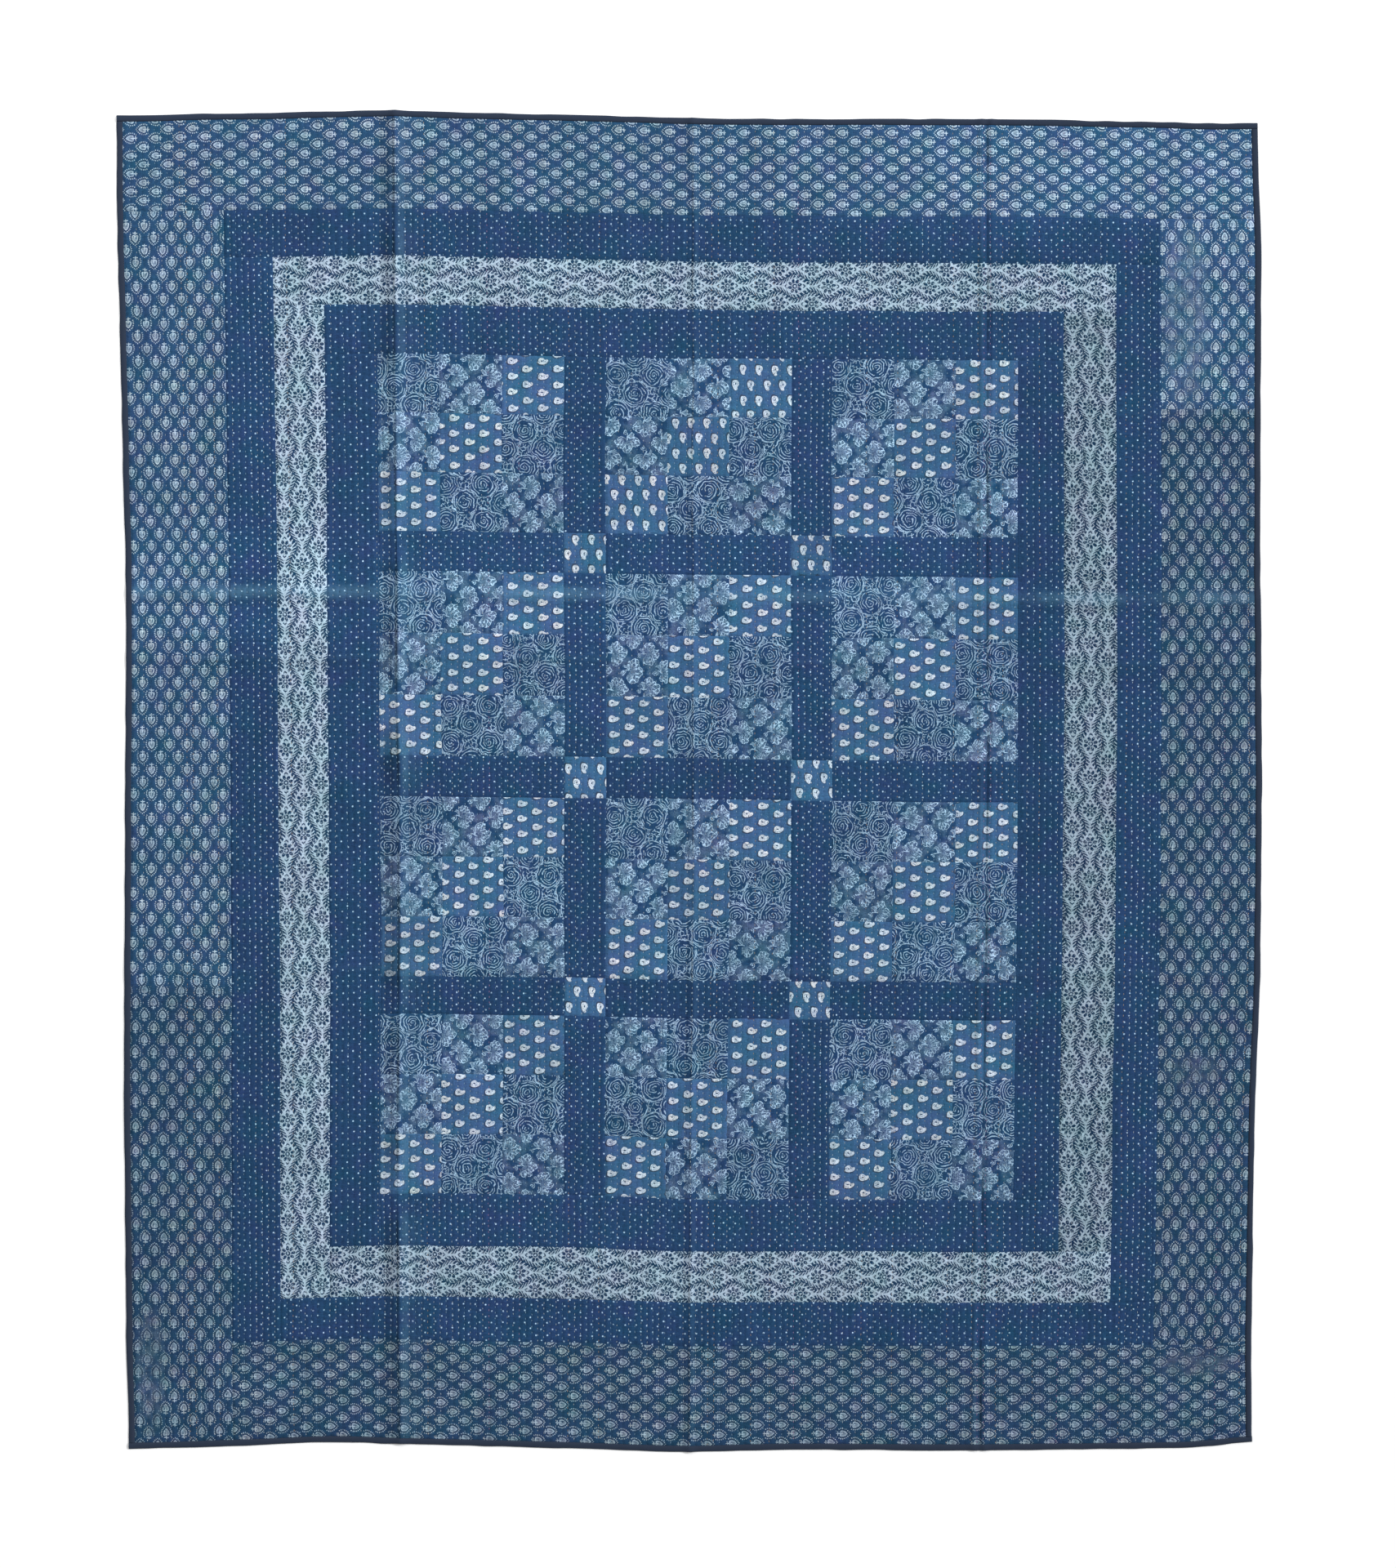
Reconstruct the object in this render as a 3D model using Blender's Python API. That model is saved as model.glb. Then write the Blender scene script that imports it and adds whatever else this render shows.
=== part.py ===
"""Patchwork bedspread of block printed indigo cotton, laid out flat.

Sizes are in millimetres until a point is placed. X runs to the right edge, Y to the head edge
and Z up from the surface that the bedspread lies on. Places on the cloth are counted from its
middle, as if it were perfectly straight, and laid() then moves them to where they really lie.
"""

from collections import namedtuple

import bmesh
import bpy
import numpy as np

MM = 0.001
COLLECTION_NAME = "patchwork_bedspread"

# Cloth, quilting and binding
SEAM_GAP = 0.3
SEAM_THICKNESS = 1.8
QUILT_RELIEF = 0.8
STITCH_ROW_SPACING = 12.5
ROWS_PER_RIB = 3
RIB_PITCH = STITCH_ROW_SPACING * ROWS_PER_RIB
SEAM_SLOPE = 3.5
CLOSEST_LINES = 4.0
BINDING_WIDTH = 12.5
BINDING_THICKNESS = 3.4

Strip = namedtuple("Strip", "name width")
STRIPS_ACROSS = (
    Strip("left_binding", BINDING_WIDTH),
    Strip("left_outer", 201.0),
    Strip("left_dotted", 98.5),
    Strip("left_vine", 101.0),
    Strip("left_inner", 105.0),
    Strip("block_c1", 373.0),
    Strip("sash_c1", 84.0),
    Strip("block_c2", 374.0),
    Strip("sash_c2", 82.0),
    Strip("block_c3", 376.0),
    Strip("right_inner", 93.0),
    Strip("right_vine", 107.0),
    Strip("right_dotted", 90.0),
    Strip("right_outer", 192.0),
    Strip("right_binding", BINDING_WIDTH),
)
STRIPS_ALONG = (
    Strip("bottom_binding", BINDING_WIDTH),
    Strip("bottom_outer", 201.0),
    Strip("bottom_dotted", 88.0),
    Strip("bottom_vine", 104.0),
    Strip("bottom_inner", 106.0),
    Strip("block_r4", 366.0),
    Strip("sash_r3", 77.0),
    Strip("block_r3", 367.0),
    Strip("sash_r2", 83.0),
    Strip("block_r2", 372.0),
    Strip("sash_r1", 81.0),
    Strip("block_r1", 357.0),
    Strip("top_inner", 98.5),
    Strip("top_vine", 97.5),
    Strip("top_dotted", 94.5),
    Strip("top_outer", 184.0),
    Strip("top_binding", BINDING_WIDTH),
)

# Joins where a border strip was pieced from two lengths of cloth
OUTER_LEFT_JOIN = -412.0
OUTER_RIGHT_JOIN = 767.0
DOTTED_LEFT_JOIN = 282.0

# Creases left by folding. A crest is sharp, a swell is soft and a groove has two low shoulders.
# first and last are its heights at the left and right edges, or at the foot and the head.
Fold = namedtuple("Fold", "runs place first last half_width shape")
FOLDS = (
    Fold(runs="along", place=-596.0, first=5.0, last=7.0, half_width=26.0, shape="crest"),
    Fold(runs="along", place=0.0, first=5.0, last=4.0, half_width=22.0, shape="crest"),
    Fold(runs="along", place=593.0, first=3.0, last=4.0, half_width=26.0, shape="groove"),
    Fold(runs="across", place=382.0, first=4.0, last=2.5, half_width=34.0, shape="crest"),
    Fold(runs="across", place=249.0, first=2.0, last=1.0, half_width=30.0, shape="swell"),
    Fold(runs="across", place=-380.0, first=1.0, last=2.0, half_width=30.0, shape="swell"),
)
GROOVE_SHOULDER = 0.4
FOLD_LINES = {
    "crest": (-1.0, -0.5, 0.0, 0.5, 1.0),
    "swell": (-1.0, 0.0, 1.0),
    "groove": (-1.0, -0.7, -GROOVE_SHOULDER, 0.0, GROOVE_SHOULDER, 0.7, 1.0),
}

# How far the hand-sewn cloth lies to the right of a true straight layout, from foot to head.
# The rows lie on seams, so that pieces side by side bend at the same places.
Sideways = namedtuple("Sideways", "along left_edge left_seam middle right_seam right_edge")
SIDEWAYS_DRIFT = (
    Sideways(-1351.0, left_edge=9.0, left_seam=7.0, middle=-8.0, right_seam=-16.0, right_edge=-18.5),
    Sideways(-1137.0, left_edge=2.5, left_seam=4.0, middle=-7.0, right_seam=-15.0, right_edge=-19.5),
    Sideways(-839.0, left_edge=-0.8, left_seam=3.0, middle=-5.0, right_seam=-9.0, right_edge=-17.5),
    Sideways(-396.0, left_edge=-2.5, left_seam=2.5, middle=-1.0, right_seam=-3.0, right_edge=-2.5),
    Sideways(54.0, left_edge=0.5, left_seam=-1.0, middle=0.0, right_seam=3.0, right_edge=2.5),
    Sideways(507.0, left_edge=0.5, left_seam=-4.0, middle=0.0, right_seam=3.0, right_edge=-2.5),
    Sideways(1060.0, left_edge=-15.7, left_seam=-14.0, middle=1.0, right_seam=1.5, right_edge=1.0),
    Sideways(1351.0, left_edge=-17.0, left_seam=-16.0, middle=1.0, right_seam=0.0, right_edge=-7.5),
)
SIDEWAYS_AT = (-1151.0, -937.0, 0.0, 946.0, 1151.0)

# How far it lies towards the head, from the left edge to the right edge
Lengthways = namedtuple("Lengthways", "across foot_edge foot_seam middle head_seam head_edge")
LENGTHWAYS_DRIFT = (
    Lengthways(-1151.0, foot_edge=5.0, foot_seam=3.0, middle=6.0, head_seam=8.0, head_edge=6.0),
    Lengthways(-937.0, foot_edge=11.0, foot_seam=-3.0, middle=6.0, head_seam=9.0, head_edge=9.0),
    Lengthways(-738.0, foot_edge=20.0, foot_seam=6.0, middle=6.0, head_seam=9.0, head_edge=14.0),
    Lengthways(-596.0, foot_edge=15.0, foot_seam=12.0, middle=6.0, head_seam=11.0, head_edge=16.0),
    Lengthways(-260.0, foot_edge=6.0, foot_seam=9.0, middle=3.0, head_seam=4.0, head_edge=8.0),
    Lengthways(0.0, foot_edge=-1.0, foot_seam=0.0, middle=0.0, head_seam=0.0, head_edge=0.0),
    Lengthways(198.0, foot_edge=3.0, foot_seam=0.0, middle=-3.0, head_seam=-1.0, head_edge=-1.0),
    Lengthways(593.0, foot_edge=1.7, foot_seam=-2.0, middle=-7.0, head_seam=-4.0, head_edge=-1.0),
    Lengthways(946.0, foot_edge=6.0, foot_seam=-2.0, middle=-8.0, head_seam=-5.0, head_edge=-7.0),
    Lengthways(1031.0, foot_edge=7.0, foot_seam=-2.0, middle=-8.0, head_seam=-5.0, head_edge=-11.0),
    Lengthways(1151.0, foot_edge=21.0, foot_seam=0.0, middle=-8.0, head_seam=-5.0, head_edge=-9.0),
)
LENGTHWAYS_AT = (-1351.0, -839.0, 54.0, 864.0, 1351.0)

# Rolled section of the binding: share of its width from the quilt outwards, share of its thickness
BINDING_PROFILE = ((0.0, 0.53), (0.12, 0.82), (0.34, 1.0), (0.66, 1.0), (0.88, 0.76), (1.0, 0.36))

Cloth = namedtuple("Cloth", "colour roughness")
CLOTHS = {
    "binding_navy": Cloth((0.010, 0.022, 0.052), 0.85),
    "sprig_print": Cloth((0.075, 0.165, 0.300), 0.90),
    "dotted_indigo": Cloth((0.034, 0.077, 0.168), 0.90),
    "vine_print": Cloth((0.223, 0.314, 0.413), 0.90),
    "patchwork_prints": Cloth((0.095, 0.190, 0.320), 0.90),
    "paisley_print": Cloth((0.120, 0.215, 0.345), 0.90),
}


def strip_places(strips):
    """The low and high seam of each strip, counted from the middle of them all."""
    low = -sum(strip.width for strip in strips) / 2
    places = {}
    for strip in strips:
        places[strip.name] = (low, low + strip.width)
        low += strip.width
    return places


ACROSS = strip_places(STRIPS_ACROSS)
ALONG = strip_places(STRIPS_ALONG)


def fold_marks(runs):
    """Every line of the folds that run one way, where their section bends."""
    return {
        fold.place + share * fold.half_width
        for fold in FOLDS
        if fold.runs == runs
        for share in FOLD_LINES[fold.shape]
    }


ACROSS_MARKS = sorted(
    fold_marks("along") | {row.across for row in LENGTHWAYS_DRIFT} | set(SIDEWAYS_AT)
)
ALONG_MARKS = sorted(
    fold_marks("across") | {row.along for row in SIDEWAYS_DRIFT} | set(LENGTHWAYS_AT)
)


def drift(table, row_place, column_places, column_place):
    """A drift table read at one place, on straight lines between its rows and columns."""
    row_places = [row[0] for row in table]
    in_row = [np.interp(row_place, row_places, values) for values in list(zip(*table))[1:]]
    return float(np.interp(column_place, column_places, in_row))


def laid(across, along):
    """Where a place on the cloth lies."""
    sideways = drift(SIDEWAYS_DRIFT, along, SIDEWAYS_AT, across)
    lengthways = drift(LENGTHWAYS_DRIFT, across, LENGTHWAYS_AT, along)
    return across + sideways, along + lengthways


def fold_section(shape, reach):
    """Share of a fold's height at a share of its half width from its line."""
    if reach >= 1.0:
        return 0.0
    if shape == "crest":
        return (1.0 - reach) ** 2
    if shape == "swell":
        return 1.0 - reach
    if reach < GROOVE_SHOULDER:
        return reach / GROOVE_SHOULDER
    return ((1.0 - reach) / (1.0 - GROOVE_SHOULDER)) ** 2


def lift(across, along):
    """How far the folds lift the cloth off the surface at a place."""
    height = 0.0
    for fold in FOLDS:
        beside, on_line = (across, along) if fold.runs == "along" else (along, across)
        places = SIDEWAYS_DRIFT if fold.runs == "along" else LENGTHWAYS_DRIFT
        full = np.interp(on_line, (places[0][0], places[-1][0]), (fold.first, fold.last))
        height += full * fold_section(fold.shape, abs(beside - fold.place) / fold.half_width)
    return float(height)


def quilted_thickness(across):
    """Thickness on the rows of quilting: thin at a row of stitches, full halfway to the next."""
    turn = (across / RIB_PITCH) % 1.0
    return SEAM_THICKNESS + QUILT_RELIEF * (1.0 - abs(2.0 * turn - 1.0))


def between(marks, low, high):
    """The marks that lie clear of two seams."""
    return [mark for mark in marks if low + CLOSEST_LINES < mark < high - CLOSEST_LINES]


def quilt_lines(low, high):
    """Lines across a piece: the folds and bends first, then the quilting where there is room."""
    fixed = between(ACROSS_MARKS, low, high)
    half_pitch = RIB_PITCH / 2
    count = int(max(abs(low), abs(high)) / half_pitch) + 1
    rows = between([half_pitch * i for i in range(-count, count + 1)], low, high)
    free = [row for row in rows if all(abs(row - mark) > CLOSEST_LINES for mark in fixed)]
    return sorted(fixed + free)


def add_vertex(mesh, across, along, thickness):
    x, y = laid(across, along)
    return mesh.verts.new((x * MM, y * MM, (lift(across, along) + thickness) * MM))


def join_rows(mesh, first, second):
    """Faces between two rows of (place, vertex) that may have unlike numbers of points."""
    i = j = 0
    while i < len(first) - 1 or j < len(second) - 1:
        next_first = first[i + 1][0] if i < len(first) - 1 else float("inf")
        next_second = second[j + 1][0] if j < len(second) - 1 else float("inf")
        step_first = next_first <= next_second
        step_second = next_second <= next_first
        corners = [first[i][1]]
        corners += [first[i + 1][1]] if step_first else []
        corners += [second[j + 1][1]] if step_second else []
        corners += [second[j][1]]
        mesh.faces.new(corners)
        i += step_first
        j += step_second


def add_piece(name, cloth, face, underside):
    """One closed piece. face and underside are rows of (across, along, thickness), foot first."""
    mesh = bmesh.new()
    sides = []
    for rows in (face, underside):
        made = [[(p[0], p[1], add_vertex(mesh, *p)) for p in row] for row in rows]
        for low, high in zip(made, made[1:]):
            join_rows(mesh, [(a, v) for a, _, v in low], [(a, v) for a, _, v in high])
        sides.append(made)
    over, under = sides
    for end in (0, -1):
        join_rows(mesh, [(a, v) for a, _, v in over[end]], [(a, v) for a, _, v in under[end]])
        join_rows(
            mesh,
            [(row[end][1], row[end][2]) for row in over],
            [(row[end][1], row[end][2]) for row in under],
        )
    bmesh.ops.recalc_face_normals(mesh, faces=mesh.faces)
    data = bpy.data.meshes.new(name)
    mesh.to_mesh(data)
    mesh.free()
    data.materials.append(bpy.data.materials[cloth])
    piece = bpy.data.objects.new(name, data)
    bpy.data.collections[COLLECTION_NAME].objects.link(piece)


def flat_rows(left, right, rows):
    """Rows of the underside, which lies on the surface but for the folds."""
    columns = [left] + between(ACROSS_MARKS, left, right) + [right]
    return [[(across, along, 0.0) for across in columns] for along in rows]


def add_quilted(name, cloth, across, along):
    """A quilted piece of cloth between two seams each way."""
    left, right = across[0] + SEAM_GAP / 2, across[1] - SEAM_GAP / 2
    foot, head = along[0] + SEAM_GAP / 2, along[1] - SEAM_GAP / 2
    bends = between(ALONG_MARKS, foot, head)
    seam_columns = [left] + between(ACROSS_MARKS, left, right) + [right]
    inner_columns = quilt_lines(left, right)
    inner_rows = [foot + SEAM_SLOPE] + bends + [head - SEAM_SLOPE]
    face = [[(x, foot, SEAM_THICKNESS) for x in seam_columns]]
    for y in inner_rows:
        quilted = [(x, y, quilted_thickness(x)) for x in inner_columns]
        face.append([(left, y, SEAM_THICKNESS)] + quilted + [(right, y, SEAM_THICKNESS)])
    face.append([(x, head, SEAM_THICKNESS) for x in seam_columns])
    add_piece(name, cloth, face, flat_rows(left, right, [foot] + bends + [head]))


def add_binding(name, across, along, outwards):
    """A rolled strip of binding. outwards is the way its free edge faces, as (across, along)."""
    left, right = across[0] + SEAM_GAP / 2, across[1] - SEAM_GAP / 2
    foot, head = along[0] + SEAM_GAP / 2, along[1] - SEAM_GAP / 2
    profile = [(share, part * BINDING_THICKNESS) for share, part in BINDING_PROFILE]
    if outwards[0] + outwards[1] < 0:
        profile = [(1.0 - share, thickness) for share, thickness in reversed(profile)]
    if outwards[0]:
        columns = [(left + share * (right - left), thickness) for share, thickness in profile]
        rows = [foot] + between(ALONG_MARKS, foot, head) + [head]
        face = [[(x, y, thickness) for x, thickness in columns] for y in rows]
    else:
        columns = [left] + between(ACROSS_MARKS, left, right) + [right]
        rows = [foot, head]
        levels = [(foot + share * (head - foot), thickness) for share, thickness in profile]
        face = [[(x, y, thickness) for x in columns] for y, thickness in levels]
    add_piece(name, "binding_navy", face, flat_rows(left, right, rows))


def add_bindings():
    """Head and foot bindings run the full width, and the side ones fit between them."""
    full = (ACROSS["left_binding"][0], ACROSS["right_binding"][1])
    sides = (ALONG["bottom_binding"][1], ALONG["top_binding"][0])
    add_binding("binding_top", full, ALONG["top_binding"], (0, 1))
    add_binding("binding_bottom", full, ALONG["bottom_binding"], (0, -1))
    add_binding("binding_left", ACROSS["left_binding"], sides, (-1, 0))
    add_binding("binding_right", ACROSS["right_binding"], sides, (1, 0))


def add_border(ring, cloth, left_join=None, right_join=None):
    """One round of border, sewn on in turn: head strip first, then left, foot and right."""
    left, right = ACROSS["left_" + ring], ACROSS["right_" + ring]
    foot, head = ALONG["bottom_" + ring], ALONG["top_" + ring]
    add_quilted(ring + "_border_top", cloth, (left[0], right[1]), head)
    add_quilted(ring + "_border_bottom", cloth, (left[1], right[1]), foot)
    add_side(ring + "_border_left", cloth, left, (foot[0], head[0]), left_join)
    add_side(ring + "_border_right", cloth, right, (foot[1], head[0]), right_join)


def add_side(name, cloth, across, along, join):
    """A side strip of border, in one length or pieced from two."""
    if join is None:
        add_quilted(name, cloth, across, along)
        return
    add_quilted(name + "_lower", cloth, across, (along[0], join))
    add_quilted(name + "_upper", cloth, across, (join, along[1]))


def add_centre():
    """Twelve patchwork blocks, the sashes between them and a cornerstone where sashes cross."""
    for row in range(1, 5):
        for column in range(1, 4):
            block = ACROSS[f"block_c{column}"]
            level = ALONG[f"block_r{row}"]
            add_quilted(f"block_r{row}_c{column}", "patchwork_prints", block, level)
            if column < 3:
                sash = ACROSS[f"sash_c{column}"]
                add_quilted(f"sash_upright_r{row}_c{column}", "dotted_indigo", sash, level)
            if row < 4:
                band = ALONG[f"sash_r{row}"]
                add_quilted(f"sash_level_r{row}_c{column}", "dotted_indigo", block, band)
            if row < 4 and column < 3:
                add_quilted(f"cornerstone_r{row}_c{column}", "paisley_print", sash, band)


def centre_in_box(pieces):
    """Moves the meshes so that the box around them all is centred on the origin."""
    corners = np.array([vertex.co[:2] for piece in pieces for vertex in piece.data.vertices])
    middle = (corners.min(axis=0) + corners.max(axis=0)) / 2
    for piece in pieces:
        for vertex in piece.data.vertices:
            vertex.co.x -= middle[0]
            vertex.co.y -= middle[1]


def add_material(name, cloth):
    material = bpy.data.materials.new(name)
    material.use_nodes = True
    surface = material.node_tree.nodes["Principled BSDF"]
    surface.inputs["Base Color"].default_value = (*cloth.colour, 1.0)
    surface.inputs["Roughness"].default_value = cloth.roughness
    surface.inputs["Metallic"].default_value = 0.0


def main():
    for old in list(bpy.data.objects):
        bpy.data.objects.remove(old, do_unlink=True)
    collection = bpy.data.collections.new(COLLECTION_NAME)
    bpy.context.scene.collection.children.link(collection)
    for name, cloth in CLOTHS.items():
        add_material(name, cloth)
    add_bindings()
    add_border("outer", "sprig_print", OUTER_LEFT_JOIN, OUTER_RIGHT_JOIN)
    add_border("dotted", "dotted_indigo", DOTTED_LEFT_JOIN)
    add_border("vine", "vine_print")
    add_border("inner", "dotted_indigo")
    add_centre()
    centre_in_box(collection.objects)


main()
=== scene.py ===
"""Patchwork bedspread of block printed indigo cotton, quilted in running stitch and laid flat.

Places on the cloth are in millimetres from its middle, as if it were perfectly straight: across to
the right edge and along to the head edge. laid() moves them to where they really lie.
"""

import math
from collections import namedtuple

import bpy
import numpy as np
from bpy.props import FloatProperty, FloatVectorProperty, PointerProperty
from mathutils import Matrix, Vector


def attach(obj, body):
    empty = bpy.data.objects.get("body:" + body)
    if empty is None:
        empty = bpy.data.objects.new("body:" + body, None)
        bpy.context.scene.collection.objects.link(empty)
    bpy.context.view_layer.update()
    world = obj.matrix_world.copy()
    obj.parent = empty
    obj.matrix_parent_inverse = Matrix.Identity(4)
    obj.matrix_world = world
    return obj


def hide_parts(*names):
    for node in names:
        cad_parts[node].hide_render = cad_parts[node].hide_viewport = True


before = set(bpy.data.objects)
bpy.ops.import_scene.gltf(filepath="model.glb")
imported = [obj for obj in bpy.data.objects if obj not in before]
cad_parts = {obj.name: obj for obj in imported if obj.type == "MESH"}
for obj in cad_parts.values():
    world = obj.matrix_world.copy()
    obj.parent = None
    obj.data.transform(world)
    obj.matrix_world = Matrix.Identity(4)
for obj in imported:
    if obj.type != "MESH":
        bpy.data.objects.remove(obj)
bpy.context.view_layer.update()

bl_info = {
    "name": "Patchwork bedspread",
    "version": (1, 0, 0),
    "blender": (4, 5, 0),
    "location": "3D View > Sidebar > Bedspread",
    "description": "Dresses the flat bedspread with printed cotton, quilting and binding",
    "category": "Object",
}

MM = 0.001
BODY = "root"
HALF_WIDTH, HALF_LENGTH = 1151.0, 1351.0

# Layout of the cloth, as in the solids: name and width of each strip from the left or the foot
BINDING_WIDTH = 12.5
STRIPS_ACROSS = (
    ("left_binding", BINDING_WIDTH), ("left_outer", 201.0), ("left_dotted", 98.5),
    ("left_vine", 101.0), ("left_inner", 105.0), ("block_c1", 373.0), ("sash_c1", 84.0),
    ("block_c2", 374.0), ("sash_c2", 82.0), ("block_c3", 376.0), ("right_inner", 93.0),
    ("right_vine", 107.0), ("right_dotted", 90.0), ("right_outer", 192.0),
    ("right_binding", BINDING_WIDTH),
)
STRIPS_ALONG = (
    ("bottom_binding", BINDING_WIDTH), ("bottom_outer", 201.0), ("bottom_dotted", 88.0),
    ("bottom_vine", 104.0), ("bottom_inner", 106.0), ("block_r4", 366.0), ("sash_r3", 77.0),
    ("block_r3", 367.0), ("sash_r2", 83.0), ("block_r2", 372.0), ("sash_r1", 81.0),
    ("block_r1", 357.0), ("top_inner", 98.5), ("top_vine", 97.5), ("top_dotted", 94.5),
    ("top_outer", 184.0), ("top_binding", BINDING_WIDTH),
)
OUTER_LEFT_JOIN = -412.0
OUTER_RIGHT_JOIN = 767.0
DOTTED_LEFT_JOIN = 282.0

# Creases left by folding, with their heights at the left and right edges, or at the foot and head
Fold = namedtuple("Fold", "runs place first last half_width shape")
FOLDS = (
    Fold(runs="along", place=-596.0, first=5.0, last=7.0, half_width=26.0, shape="crest"),
    Fold(runs="along", place=0.0, first=5.0, last=4.0, half_width=22.0, shape="crest"),
    Fold(runs="along", place=593.0, first=3.0, last=4.0, half_width=26.0, shape="groove"),
    Fold(runs="across", place=382.0, first=4.0, last=2.5, half_width=34.0, shape="crest"),
    Fold(runs="across", place=249.0, first=2.0, last=1.0, half_width=30.0, shape="swell"),
    Fold(runs="across", place=-380.0, first=1.0, last=2.0, half_width=30.0, shape="swell"),
)
GROOVE_SHOULDER = 0.4

# How far the cloth lies to the right of a straight layout: a row for each place along, foot first
SIDEWAYS_ROWS = (-1351.0, -1137.0, -839.0, -396.0, 54.0, 507.0, 1060.0, 1351.0)
SIDEWAYS_COLUMNS = (-1151.0, -937.0, 0.0, 946.0, 1151.0)
SIDEWAYS_DRIFT = np.array(
    (
        (9.0, 7.0, -8.0, -16.0, -18.5),
        (2.5, 4.0, -7.0, -15.0, -19.5),
        (-0.8, 3.0, -5.0, -9.0, -17.5),
        (-2.5, 2.5, -1.0, -3.0, -2.5),
        (0.5, -1.0, 0.0, 3.0, 2.5),
        (0.5, -4.0, 0.0, 3.0, -2.5),
        (-15.7, -14.0, 1.0, 1.5, 1.0),
        (-17.0, -16.0, 1.0, 0.0, -7.5),
    )
)
# How far it lies towards the head: a row for each place across, left first
LENGTHWAYS_ROWS = (
    -1151.0, -937.0, -738.0, -596.0, -260.0, 0.0, 198.0, 593.0, 946.0, 1031.0, 1151.0,
)
LENGTHWAYS_COLUMNS = (-1351.0, -839.0, 54.0, 864.0, 1351.0)
LENGTHWAYS_DRIFT = np.array(
    (
        (5.0, 3.0, 6.0, 8.0, 6.0),
        (11.0, -3.0, 6.0, 9.0, 9.0),
        (20.0, 6.0, 6.0, 9.0, 14.0),
        (15.0, 12.0, 6.0, 11.0, 16.0),
        (6.0, 9.0, 3.0, 4.0, 8.0),
        (-1.0, 0.0, 0.0, 0.0, 0.0),
        (3.0, 0.0, -3.0, -1.0, -1.0),
        (1.7, -2.0, -7.0, -4.0, -1.0),
        (6.0, -2.0, -8.0, -5.0, -7.0),
        (7.0, -2.0, -8.0, -5.0, -11.0),
        (21.0, 0.0, -8.0, -5.0, -9.0),
    )
)
DRIFT_TAP = 40.0  # the drift is averaged over this far each way, so that it has no kinks

# Cloth, padding and quilting
ROW_SPACING = 12.5
STITCH_PERIOD = 11.4
STITCH_LENGTH = 5.4
STITCH_WIDTH = 1.3
STITCH_HEIGHT = 0.5
PHASE_STEP = 0.618  # how far a row's stitches lie ahead of the last row's, in periods
CLOTH_THICKNESS = 1.9
PUFF_HEIGHT = 0.65
PUCKER_HEIGHT = 0.3
SEAM_SINK = 0.95
SEAM_HALF_WIDTH = 3.0
SOFT_HEIGHT = 0.9
SOFT_EDGE = 60.0
FOLD_UNEVENNESS = 0.22
FOLD_WANDER = 2.2

# Meshes
COLUMN_STEP = 3.125
ROW_STEP = 8.0
SEAM_STEPS = (1.0, 2.8)
MARK_MARGIN = 5.0  # folds closer than this to a seam get no step of their own
CLEARANCE = 0.42  # share of a step, or of the margin if less, that even steps keep from others
UNDERSIDE_COLUMNS, UNDERSIDE_ROWS = 4, 3  # the underside has every fourth column and third row
PIECE_GAP = 0.04
NOISE_CELLS = 128
OUTLINE_STEPS = 2801


def strip_places(strips):
    """The low and high seam of each strip, counted from the middle of them all."""
    low = -sum(width for _, width in strips) / 2
    places = {}
    for name, width in strips:
        places[name] = (low, low + width)
        low += width
    return places


ACROSS = strip_places(STRIPS_ACROSS)
ALONG = strip_places(STRIPS_ALONG)


def eased(share):
    share = np.clip(share, 0.0, 1.0)
    return share * share * (3.0 - 2.0 * share)


def soft_noise(across, along, size, seed):
    """Smooth noise from -1 to 1 with hills about one size apart."""
    if np.isscalar(size):
        size = (size, size)
    values = np.random.default_rng(seed).uniform(-1.0, 1.0, (NOISE_CELLS, NOISE_CELLS))
    x = np.asarray(across) / size[0] + NOISE_CELLS * 8
    y = np.asarray(along) / size[1] + NOISE_CELLS * 8
    column, row = np.floor(x).astype(int), np.floor(y).astype(int)
    right, up = eased(x - column), eased(y - row)
    column, row = column % NOISE_CELLS, row % NOISE_CELLS
    next_column, next_row = (column + 1) % NOISE_CELLS, (row + 1) % NOISE_CELLS
    low = values[row, column] * (1 - right) + values[row, next_column] * right
    high = values[next_row, column] * (1 - right) + values[next_row, next_column] * right
    return low * (1 - up) + high * up


def read_drift(table, row_places, column_places, row_place, column_place):
    """A drift table read at many places, on straight lines between its rows and columns."""
    row = np.interp(row_place, row_places, range(len(row_places)))
    column = np.interp(column_place, column_places, range(len(column_places)))
    low_row = np.minimum(row.astype(int), len(row_places) - 2)
    low_column = np.minimum(column.astype(int), len(column_places) - 2)
    up, right = row - low_row, column - low_column
    low = table[low_row, low_column] * (1 - right) + table[low_row, low_column + 1] * right
    high = table[low_row + 1, low_column] * (1 - right)
    high = high + table[low_row + 1, low_column + 1] * right
    return low * (1 - up) + high * up


def drifted(across, along):
    """Where places on the cloth lie before the box is centred, with straight drift tables."""
    across, along = np.asarray(across, float), np.asarray(along, float)
    sideways = read_drift(SIDEWAYS_DRIFT, SIDEWAYS_ROWS, SIDEWAYS_COLUMNS, along, across)
    lengthways = read_drift(
        LENGTHWAYS_DRIFT, LENGTHWAYS_ROWS, LENGTHWAYS_COLUMNS, across, along
    )
    return np.stack((across + sideways, along + lengthways))


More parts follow.
